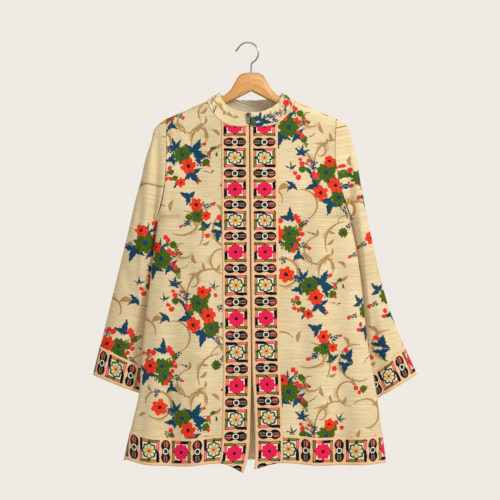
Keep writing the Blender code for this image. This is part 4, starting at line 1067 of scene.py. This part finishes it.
def bothSides(name, pattern, reverse="reverse"):
    return [clothMaterial(name + side.capitalize(), clothTones[side], pattern) for side in ("face", reverse)]


ribbonCloth = ribbonMaterial()
clothSides = bothSides("printedCloth", groups["print"])
print("cloth materials made")

# Fronts, back and their ribbons
grid = {
    "hemRows": 22, "panelRows": 226, "underRibbon": 12,
    "frontColumns": 92, "backColumns": 80, "ribbonColumns": 24,
}
hemRows = bandSteps(band["hem"], grid["hemRows"])
panelRowShares = np.concatenate([hemRows, pastBand(band["hem"], grid["panelRows"])])
seamSplit = 0.00015  # half of the gap where two ribbons meet


def panelFlat(points, startColumn):
    across = runLength(points, 1, (0, 1))
    across = across - across[:, [startColumn]] + points[:, [startColumn], 0]
    up = runLength(points, 0, (1, 2)) + points[:1, :, 2]
    return np.stack([across + shaftX, up], axis=-1)


def ribbonFlat(across, run):
    return np.stack(np.broadcast_arrays(ribbonWidth * across, run), axis=-1)


def placeAlong(points, around, x):  # how far along each row of a ribbon a flower at this x lies
    found = []
    for row, lengths in zip(points, around):
        order = np.argsort(row[:, 0])
        found.append(np.interp(x - shaftX, row[order, 0], lengths[order]))
    return np.array(found)[:, None]


# Where a pink flower lies on each ribbon, and how far its pattern is stretched
frontPattern = {"pinkZ": -0.4631, "above": 1.029, "right": 0.969, "left": 0.980}
hemPattern = {"right": (-0.1448, 0.970), "left": (0.1628, 0.925)}
hemShares = bandSteps(1.0, grid["hemRows"])[:, :1]
underRibbon = bandSteps(band["front"], grid["underRibbon"])
for side in ("right", "left"):
    columns = np.concatenate([underRibbon, pastBand(band["front"], grid["frontColumns"], 6)])
    points = frontPoints(side, panelRowShares, columns)
    flat = panelFlat(points, -1 if side == "right" else 0)
    panel = sheetPiece(side + "FrontPanel", points, flat, clothSides, shell["cloth"])
    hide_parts("front_" + side)
    ribbonColumns = bandSteps(band["front"] - seamSplit, grid["ribbonColumns"])
    onPanel = frontPoints(side, panelRowShares, ribbonColumns)
    across = 1 - ribbonColumns[:, 0] / band["front"]
    run = onPanel[..., 2] - frontPattern["pinkZ"]
    run = run * np.where(run > 0, frontPattern["above"], frontPattern[side])
    if side == "right":  # the ribbon is sewn on the other way up
        run, across = -run, across[::-1]
    lifted = movedOut(onPanel, shell["lift"])
    flat = ribbonFlat(across, run)
    upright = sheetPiece(side + "FrontRibbon", lifted, flat, [ribbonCloth], shell["ribbon"])
    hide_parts("front_ribbon_" + side)
    hemStart = np.array([[band["front"] + seamSplit, 0.0]])
    hemColumns = np.concatenate([hemStart, pastBand(band["front"], grid["frontColumns"], 6)])
    onPanel = frontPoints(side, hemRows, hemColumns)
    pinkX, stretch = hemPattern[side]
    around = runLength(onPanel, 1, (0, 1))
    run = (around - placeAlong(onPanel, around, pinkX)) * stretch
    lifted = movedOut(onPanel, shell["lift"])
    flat = ribbonFlat(1 - hemShares, run)
    alongHem = sheetPiece(side + "HemRibbon", lifted, flat, [ribbonCloth], shell["ribbon"])
    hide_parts("hem_ribbon_" + side)

halfShares = crowded(grid["backColumns"] + 1, 6)
backShares = -np.concatenate([-halfShares[::-1], halfShares[1:]])
points = backPoints(panelRowShares, backShares)
flat = panelFlat(points, grid["backColumns"])
backPanel = sheetPiece("backPanel", points, flat, clothSides, shell["cloth"])
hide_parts("back")
onPanel = backPoints(hemRows, backShares)
flat = ribbonFlat(1 - hemShares, runLength(onPanel, 1, (0, 1)))
lifted = movedOut(onPanel, shell["lift"])
backHem = sheetPiece("backHemRibbon", lifted, flat, [ribbonCloth], shell["ribbon"])
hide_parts("hem_ribbon_back")
print("body made")

# Sleeves with their cuff ribbons
sleeveGrid = {"columns": 120, "rows": 170, "cuffRows": 22}
cuffRows = bandSteps(band["cuff"], sleeveGrid["cuffRows"])
sleeveLevels = np.concatenate([cuffRows, pastBand(band["cuff"], sleeveGrid["rows"], 10)])
turns = math.pi + np.linspace(0, 2 * math.pi, sleeveGrid["columns"] + 1)  # all round from the underarm
cuffDaisies = {"right": -0.2911, "left": 0.3110}
printStart = {"right": (-0.236, -0.800), "left": (0.266, -0.800)}
sleevePrint = {"lean": math.radians(11), "depthShare": 0.6}  # it follows the folds' depth only in part


def sleeveFlat(side, points, half, quarter):  # across and along the sleeve, which hangs with a lean
    out = points[..., 0] * (-1 if side == "right" else 1)
    cosine, sine = math.cos(sleevePrint["lean"]), math.sin(sleevePrint["lean"])
    aside = out * cosine + points[..., 2] * sine
    along = points[..., 2] * cosine - out * sine
    section = np.stack([aside, points[..., 1] * sleevePrint["depthShare"]], axis=-1)
    around = runLength(section, 1, (0, 1))
    startX, startZ = printStart[side]
    return np.stack([around - around[:, [half]] + startX, along - along[0, quarter] + startZ], axis=-1)


for side in ("right", "left"):
    points = sleevePoints(side, sleeveLevels, turns)
    half, quarter = sleeveGrid["columns"] // 2, sleeveGrid["columns"] // 4
    around = runLength(points, 1)
    around = around - around[:, [half]]
    flat = sleeveFlat(side, points, half, quarter)
    sleeve = sheetPiece(side + "Sleeve", points, flat, clothSides, shell["cloth"], tube=True)
    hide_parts("sleeve_" + side)
    onSleeve, around = points[: sleeveGrid["cuffRows"]], around[: sleeveGrid["cuffRows"]]
    front = slice(half, None) if side == "right" else slice(0, half + 1)
    daisy = placeAlong(onSleeve[:, front], around[:, front], cuffDaisies[side])
    run = around - daisy[len(daisy) // 2] - ribbonRepeat
    lifted = movedOut(onSleeve, shell["lift"], tube=True)
    across = 1 - cuffRows[:, :1] / band["cuff"]
    flat = ribbonFlat(across, run)
    cuff = sheetPiece(side + "CuffRibbon", lifted, flat, [ribbonCloth], shell["ribbon"], tube=True)
    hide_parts("cuff_ribbon_" + side)
print("sleeves made")

# Collar
collar = {"half": 0.068, "frontY": -0.037, "backY": 0.020, "sideTop": -0.110,
          "frontDip": 0.047, "backDip": 0.015, "rightEnd": -0.0114, "leftEnd": -0.0016,
          "gap": 0.0009, "shoulderLap": 0.0008, "rows": 26, "belly": 0.0016, "ripple": 0.0009}


def neckline(points, reach):
    top = points[-1]
    return top[np.abs(top[:, 0]) < reach]


def collarPoints():
    fine = np.concatenate([underRibbon, pastBand(band["front"], 150, 3)])
    right = frontPoints("right", panelRowShares[-2:], fine)[:, ::-1]
    left = frontPoints("left", panelRowShares[-2:], fine)
    back = backPoints(panelRowShares[-2:], np.linspace(1, -1, 260))
    seams, tops = [], []
    for panel, face, end in ((right, -1, collar["rightEnd"]), (back, 1, 0.0), (left, -1, collar["leftEnd"])):
        seam = neckline(panel, neck["half"] - face * collar["shoulderLap"])
        across = seam[:, 0] / neck["half"]
        if face < 0:
            across = across + (end / collar["half"] - across[0]) * (1 - np.abs(across))
        across = np.clip(across, -1, 1)
        deep = np.sqrt(1 - across**2)
        where = "front" if face < 0 else "back"
        y, dip = collar[where + "Y"], collar[where + "Dip"]
        top = np.stack([across * collar["half"], y * deep, collar["sideTop"] - dip * deep], axis=-1)
        backwards = panel is not right
        seams.append(seam[::-1] if backwards else seam)
        tops.append(top[::-1] if backwards else top)
    seam, top = np.concatenate(seams), np.concatenate(tops)
    way = (top - seam) / np.linalg.norm(top - seam, axis=1, keepdims=True)
    start = seam + way * collar["gap"]
    share = np.linspace(0, 1, collar["rows"])[:, None, None]
    return (start + (top - start) * share)[:, ::-1]


points = collarPoints()
share = np.linspace(0, 1, collar["rows"])[:, None]
around = runLength(points, 1)
rowLength = around[:, -1:]
ripple = np.sin(around * 310 + 1.3) + 0.6 * np.sin(around * 173 + 0.4)
outwards = np.sin(share * math.pi) * collar["belly"] + ripple * collar["ripple"] * share**2
points = movedOut(points, outwards[..., None])
up = runLength(points, 0)
# The print keeps its place at both ends, so the shorter rows are spread round the nape
spread = (rowLength[0] - rowLength) * ease((around / rowLength - 0.2) / 0.6)
flat = np.stack(np.broadcast_arrays(around + spread, up), axis=-1)
collarGroup = floralPrint("collarPrint", collarPrint, [], (0.0, 0.0, 0.0), float(rowLength[0, 0]) * 1000)
# the collar's inside takes the paler tones, painted light for its shaded hollow
collarSides = bothSides("collarCloth", collarGroup, "paintedLightNeckband")
collarPiece = sheetPiece("standCollar", points, flat, collarSides, shell["collar"])
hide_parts("collar")
print("collar made")

# Zip
zipper = {"bottom": -0.722, "top": -0.160, "half": 0.008, "behind": 0.00205, "rows": 160, "sliderX": -0.0065,
          "toothPitch": 0.0018, "toothLong": 0.0036, "toothHigh": 0.0011, "toothDeep": 0.0012,
          "toothAside": 0.0009, "toothForward": 0.0007, "toothBevel": 0.00025,
          "tapeShade": inkColour(84, 66, 50), "tapeLight": inkColour(112, 90, 66)}


def centreFrontY(at):
    edge = frontPoints("right", panelRowShares, np.array([[0.0, 0.0], [0.002, 0.0]]))[:, -1]
    collarEdge = points[1:, -1]
    both = np.concatenate([edge, collarEdge])
    return np.interp(at, both[:, 2], both[:, 1])


tapeCloth, tree, inputs = newMaterial("zipTape", 0.8)
weave = useGroup(tree, groups["weave"], Place=flatPlace(tree))
shade = mixColour(tree, weave["Tone"], zipper["tapeShade"], zipper["tapeLight"])
tree.links.new(shade, inputs["Base Color"])
addBump(tree, inputs, weave["Height"], 0.5, 0.0005)

levels = np.linspace(zipper["bottom"], zipper["top"], zipper["rows"])
zipY = centreFrontY(levels) + zipper["behind"]
zipX = (read(opening, "right", levels) + read(opening, "left", levels)) / 2
collarFoot = neck["height"] - neck["frontDrop"]
zipX += ease((levels - collarFoot) / (zipper["top"] - collarFoot)) * (zipper["sliderX"] - zipX)
acrossTape = np.linspace(-zipper["half"], zipper["half"], 7)
tapeParts = np.broadcast_arrays(zipX[:, None] + acrossTape, zipY[:, None], levels[:, None])
tapePoints = np.stack(tapeParts, axis=-1)
tapeFlat = np.stack(np.broadcast_arrays(acrossTape, levels[:, None]), axis=-1)
tape = sheetPiece("zipTape", tapePoints, tapeFlat, [tapeCloth], shell["tape"])
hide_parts("zip")


def polishedMetal(name, tint, roughness, scale):
    material, tree, inputs = newMaterial(name, roughness, 1.0)
    place = addNode(tree, "TexCoord").outputs["Object"]
    wear = addNode(tree, "TexNoise", {"Vector": place, "Scale": scale, "Detail": 3.0})
    worn = tuple(part * 0.72 for part in tint[:3]) + (1.0,)
    tree.links.new(mixColour(tree, wear.outputs[0], tint, worn), inputs["Base Color"])
    ends = {"Value": wear.outputs[0], "To Min": roughness * 0.7, "To Max": roughness * 1.4}
    tree.links.new(addNode(tree, "MapRange", ends).outputs[0], inputs["Roughness"])
    return material


toothMetal = polishedMetal("zipTeeth", inkColour(172, 142, 104), 0.38, 600.0)
# The slider's dark grey is painted shade: slider and pull are the same bright nickel
paintedShadeSliderMetal = polishedMetal("zipSlider", inkColour(104, 102, 104), 0.30, 500.0)
pullMetal = polishedMetal("zipPull", inkColour(196, 196, 198), 0.26, 500.0)


def makeTeeth():
    built = bmesh.new()
    size = (zipper["toothLong"], zipper["toothDeep"], zipper["toothHigh"])
    count = int((zipper["top"] - zipper["bottom"]) / zipper["toothPitch"])
    for index in range(count):
        z = zipper["bottom"] + (index + 0.5) * zipper["toothPitch"]
        aside = zipper["toothAside"] * (1 if index % 2 else -1)
        x = float(np.interp(z, levels, zipX)) + shaftX + aside
        y = float(np.interp(z, levels, zipY)) - zipper["toothForward"]
        tooth = bmesh.ops.create_cube(built, size=1.0)["verts"]
        bmesh.ops.scale(built, vec=size, verts=tooth)
        bmesh.ops.translate(built, vec=(x, y, z), verts=tooth)
    bmesh.ops.bevel(
        built, geom=built.edges[:], offset=zipper["toothBevel"], segments=1, profile=0.5,
        affect="EDGES", material=-1,
    )
    mesh = bpy.data.meshes.new("zipTeeth")
    built.to_mesh(mesh)
    built.free()
    mesh.materials.append(toothMetal)
    teeth = bpy.data.objects.new("zipTeeth", mesh)
    bpy.context.scene.collection.objects.link(teeth)
    return teeth


teeth = makeTeeth()
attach(teeth, "root")
for node, material in (("zip_slider", paintedShadeSliderMetal), ("zip_pull", pullMetal)):
    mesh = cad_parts[node].data
    mesh.materials.clear()
    mesh.materials.append(material)
print("zip made")

# Hanger
hanger = {
    "reach": [0.0, 0.013, 0.0257, 0.036, 0.0477, 0.0677, 0.095, 0.140, 0.180],
    "top": [-0.0650, -0.0656, -0.0710, -0.0870, -0.1052, -0.1202, -0.1316, -0.1498, -0.1690],
    "underside": [-0.1067, -0.1133, -0.1197, -0.1249, -0.1308, -0.1420, -0.1550, -0.1745, -0.1920],
}
hangerForm = {"thickness": 0.015, "forward": 0.012, "rounding": 0.0055, "endRadius": 0.0125, "mitre": 0.0003,
              "endDepth": 0.55, "roundShare": 0.8, "ridgeDrop": 0.1, "lean": 0.28, "sharpAngle": 15.5,
              "pale": inkColour(226, 174, 108), "dark": inkColour(198, 138, 70)}


def hangerRing(sign, reach, share, steps=7):
    top, underside = float(read(hanger, "top", reach)), float(read(hanger, "underside", reach))
    pastEnd = max(reach - hanger["reach"][-1], 0)
    middleZ = (top + underside) / 2 - pastEnd * shoulder["slope"]
    middleY = -hangerForm["forward"] * (reach / shoulder["half"]) ** 2
    tall = (top - underside) / 2 * share
    deep = hangerForm["thickness"] / 2 * (hangerForm["endDepth"] + (1 - hangerForm["endDepth"]) * share)
    roundY, roundZ = [min(hangerForm["rounding"], part * hangerForm["roundShare"]) for part in (deep, tall)]
    ridgeZ = middleZ - hangerForm["ridgeDrop"] * tall
    x = sign * (reach + hangerForm["mitre"] / 2)
    ring = []
    for quarter, (along, upward) in enumerate([(1, 1), (-1, 1), (-1, -1), (1, -1)]):
        lean = hangerForm["lean"] if along < 0 else 0.0  # the upper part of the front leans back
        for k in range(steps):
            angle = math.pi / 2 * (quarter + k / (steps - 1))
            y = middleY + along * (deep - roundY) + roundY * math.cos(angle)
            z = middleZ + upward * (tall - roundZ) + roundZ * math.sin(angle)
            ring.append((x, y + lean * max(z - ridgeZ, 0), z))
        if quarter == 1:
            ring.append((x, middleY - deep, ridgeZ))
    return ring


wood, tree, inputs = newMaterial("hangerWood", 0.42, Coat_Weight=0.15, Coat_Roughness=0.3)
tints = {"Pale": hangerForm["pale"], "Dark": hangerForm["dark"]}
grain = useGroup(tree, groups["wood"], Place=flatPlace(tree), **tints)
tree.links.new(grain["Colour"], inputs["Base Color"])
addBump(tree, inputs, grain["Height"], 0.2, 0.0004)
for side, sign in (("right", -1), ("left", 1)):
    last = hanger["reach"][-1]
    turned = np.linspace(0, 1.45, 9)[1:]
    past = [(last + hangerForm["endRadius"] * math.sin(turn), math.cos(turn)) for turn in turned]
    stations = [(reach, 1.0) for reach in np.linspace(0, last, 70)] + past
    rings = np.array([hangerRing(sign, reach, share) for reach, share in stations])
    rings = np.concatenate([rings, rings[:, :1]], axis=1)
    built = bmesh.new()
    rows, columns = rings.shape[:2]
    bmesh.ops.create_grid(built, x_segments=columns - 1, y_segments=rows - 1, size=1.0)
    uvLayer = built.loops.layers.uv.new("flat")
    aroundRing = runLength(rings, 1)
    for face in built.faces:
        for loop in face.loops:
            column = round((loop.vert.co.x + 1) / 2 * (columns - 1))
            row = round((loop.vert.co.y + 1) / 2 * (rows - 1))
            loop[uvLayer].uv = (stations[row][0], aroundRing[row, column] + 0.3 * sign)
    for vertex in built.verts:
        column = round((vertex.co.x + 1) / 2 * (columns - 1))
        row = round((vertex.co.y + 1) / 2 * (rows - 1))
        vertex.co = rings[row, column] + np.array([shaftX, 0.0, 0.0])
    bmesh.ops.remove_doubles(built, verts=built.verts, dist=0.00001)
    bmesh.ops.holes_fill(built, edges=[edge for edge in built.edges if edge.is_boundary], sides=0)
    bmesh.ops.recalc_face_normals(built, faces=built.faces)
    mesh = bpy.data.meshes.new(side + "HangerArm")
    built.to_mesh(mesh)
    built.free()
    mesh.materials.append(wood)
    mesh.shade_smooth()
    mesh.set_sharp_from_angle(angle=math.radians(hangerForm["sharpAngle"]))
    arm = bpy.data.objects.new(side + "HangerArm", mesh)
    bpy.context.scene.collection.objects.link(arm)
    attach(arm, "root")
    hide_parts("hanger_arm_" + side)

hook = {"wire": 0.0018, "radius": 0.0235, "centreX": -0.0075, "tip": (-0.0345, -0.0185),
        "start": 150, "sweep": 210, "steps": 48,
        "shaft": [(0.0012, -0.0445), (0.0001, -0.0485), (0.0, -0.0560), (0.0, -0.0646)]}
route = [hook["tip"]]
centreZ = hook["wire"] - hook["radius"]
for k in range(hook["steps"] + 1):
    angle = math.radians(hook["start"] - hook["sweep"] * k / hook["steps"])
    x = hook["centreX"] + hook["radius"] * math.cos(angle)
    route.append((x, centreZ + hook["radius"] * math.sin(angle)))
route += hook["shaft"]
curve = bpy.data.curves.new("hangerHook", "CURVE")
curve.dimensions = "3D"
curve.bevel_depth = hook["wire"]
curve.bevel_resolution = 6
curve.use_fill_caps = True
spline = curve.splines.new("POLY")
spline.points.add(len(route) - 1)
for point, (x, z) in zip(spline.points, route):
    point.co = (x + shaftX, 0.0, z, 1.0)
spline.use_smooth = True
curve.materials.append(polishedMetal("hookSteel", inkColour(176, 178, 182), 0.24, 300.0))
hookPiece = bpy.data.objects.new("steelHook", curve)
bpy.context.scene.collection.objects.link(hookPiece)
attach(hookPiece, "root")
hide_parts("hanger_hook")
print("hanger made")

# Camera, light and floor
view = {"centreX": 0.0044, "centreZ": -0.459, "distance": 3.3, "planeY": -0.03, "frameWidth": 1.10}
camera = bpy.data.objects.new("camera", bpy.data.cameras.new("camera"))
camera.data.sensor_width = 36.0
camera.data.lens = 36.0 * view["distance"] / view["frameWidth"]
camera.location = (view["centreX"], view["planeY"] - view["distance"], view["centreZ"])
camera.rotation_euler = (math.pi / 2, 0.0, 0.0)
camera.data.clip_end = 50.0
bpy.context.scene.collection.objects.link(camera)
bpy.context.scene.camera = camera

lampTarget = (0.0, 0.0, -0.45)
lamps = {  # x, y, z, size, power, warmth
    "keyLamp": (2.3, -2.3, 1.3, 1.1, 82.0, (1.0, 0.97, 0.93)),
    "topLamp": (0.2, -1.0, 2.0, 1.2, 15.0, (1.0, 0.98, 0.95)),
    "fillLamp": (-2.2, -2.6, 0.1, 2.2, 12.0, (0.96, 0.98, 1.0)),
    "backLamp": (0.6, 2.6, 0.8, 2.0, 26.0, (1.0, 0.98, 0.95)),
}
for name, (x, y, z, size, power, warmth) in lamps.items():
    lamp = bpy.data.objects.new(name, bpy.data.lights.new(name, "AREA"))
    lamp.data.size = size
    lamp.data.energy = power
    lamp.data.color = warmth
    lamp.location = (x, y, z)
    towards = np.array(lampTarget) - np.array([x, y, z])
    tilt = math.acos(-towards[2] / np.linalg.norm(towards))
    turn = math.atan2(towards[1], towards[0]) - math.pi / 2
    lamp.rotation_euler = (tilt, 0.0, turn)
    bpy.context.scene.collection.objects.link(lamp)

studio = {"wall": (0.86, 0.82, 0.765, 1.0), "wallLight": 0.54, "wallShown": 0.46,
          "floor": (0.80, 0.78, 0.74, 1.0), "floorZ": -1.75, "floorRadius": 4.2}
world = bpy.data.worlds.new("studio")
bpy.context.scene.world = world
world.use_nodes = True
background = world.node_tree.nodes["Background"]
background.inputs["Color"].default_value = studio["wall"]
tree = world.node_tree
seen = addNode(tree, "LightPath").outputs["Is Camera Ray"]  # the wall looks brighter than it lights
strength = maths(tree, "MULTIPLY_ADD", seen, studio["wallShown"], studio["wallLight"])
tree.links.new(strength, background.inputs["Strength"])
bpy.context.scene.view_settings.view_transform = "Standard"

built = bmesh.new()
bmesh.ops.create_circle(built, cap_ends=True, segments=96, radius=studio["floorRadius"])
bmesh.ops.translate(built, vec=(0.0, 0.0, studio["floorZ"]), verts=built.verts)
mesh = bpy.data.meshes.new("studioFloor")
built.to_mesh(mesh)
built.free()
floorPaint, tree, inputs = newMaterial("floorPaint", 0.9)
inputs["Base Color"].default_value = studio["floor"]
mesh.materials.append(floorPaint)
floor = bpy.data.objects.new("studioFloor", mesh)
bpy.context.scene.collection.objects.link(floor)
print("studio made")
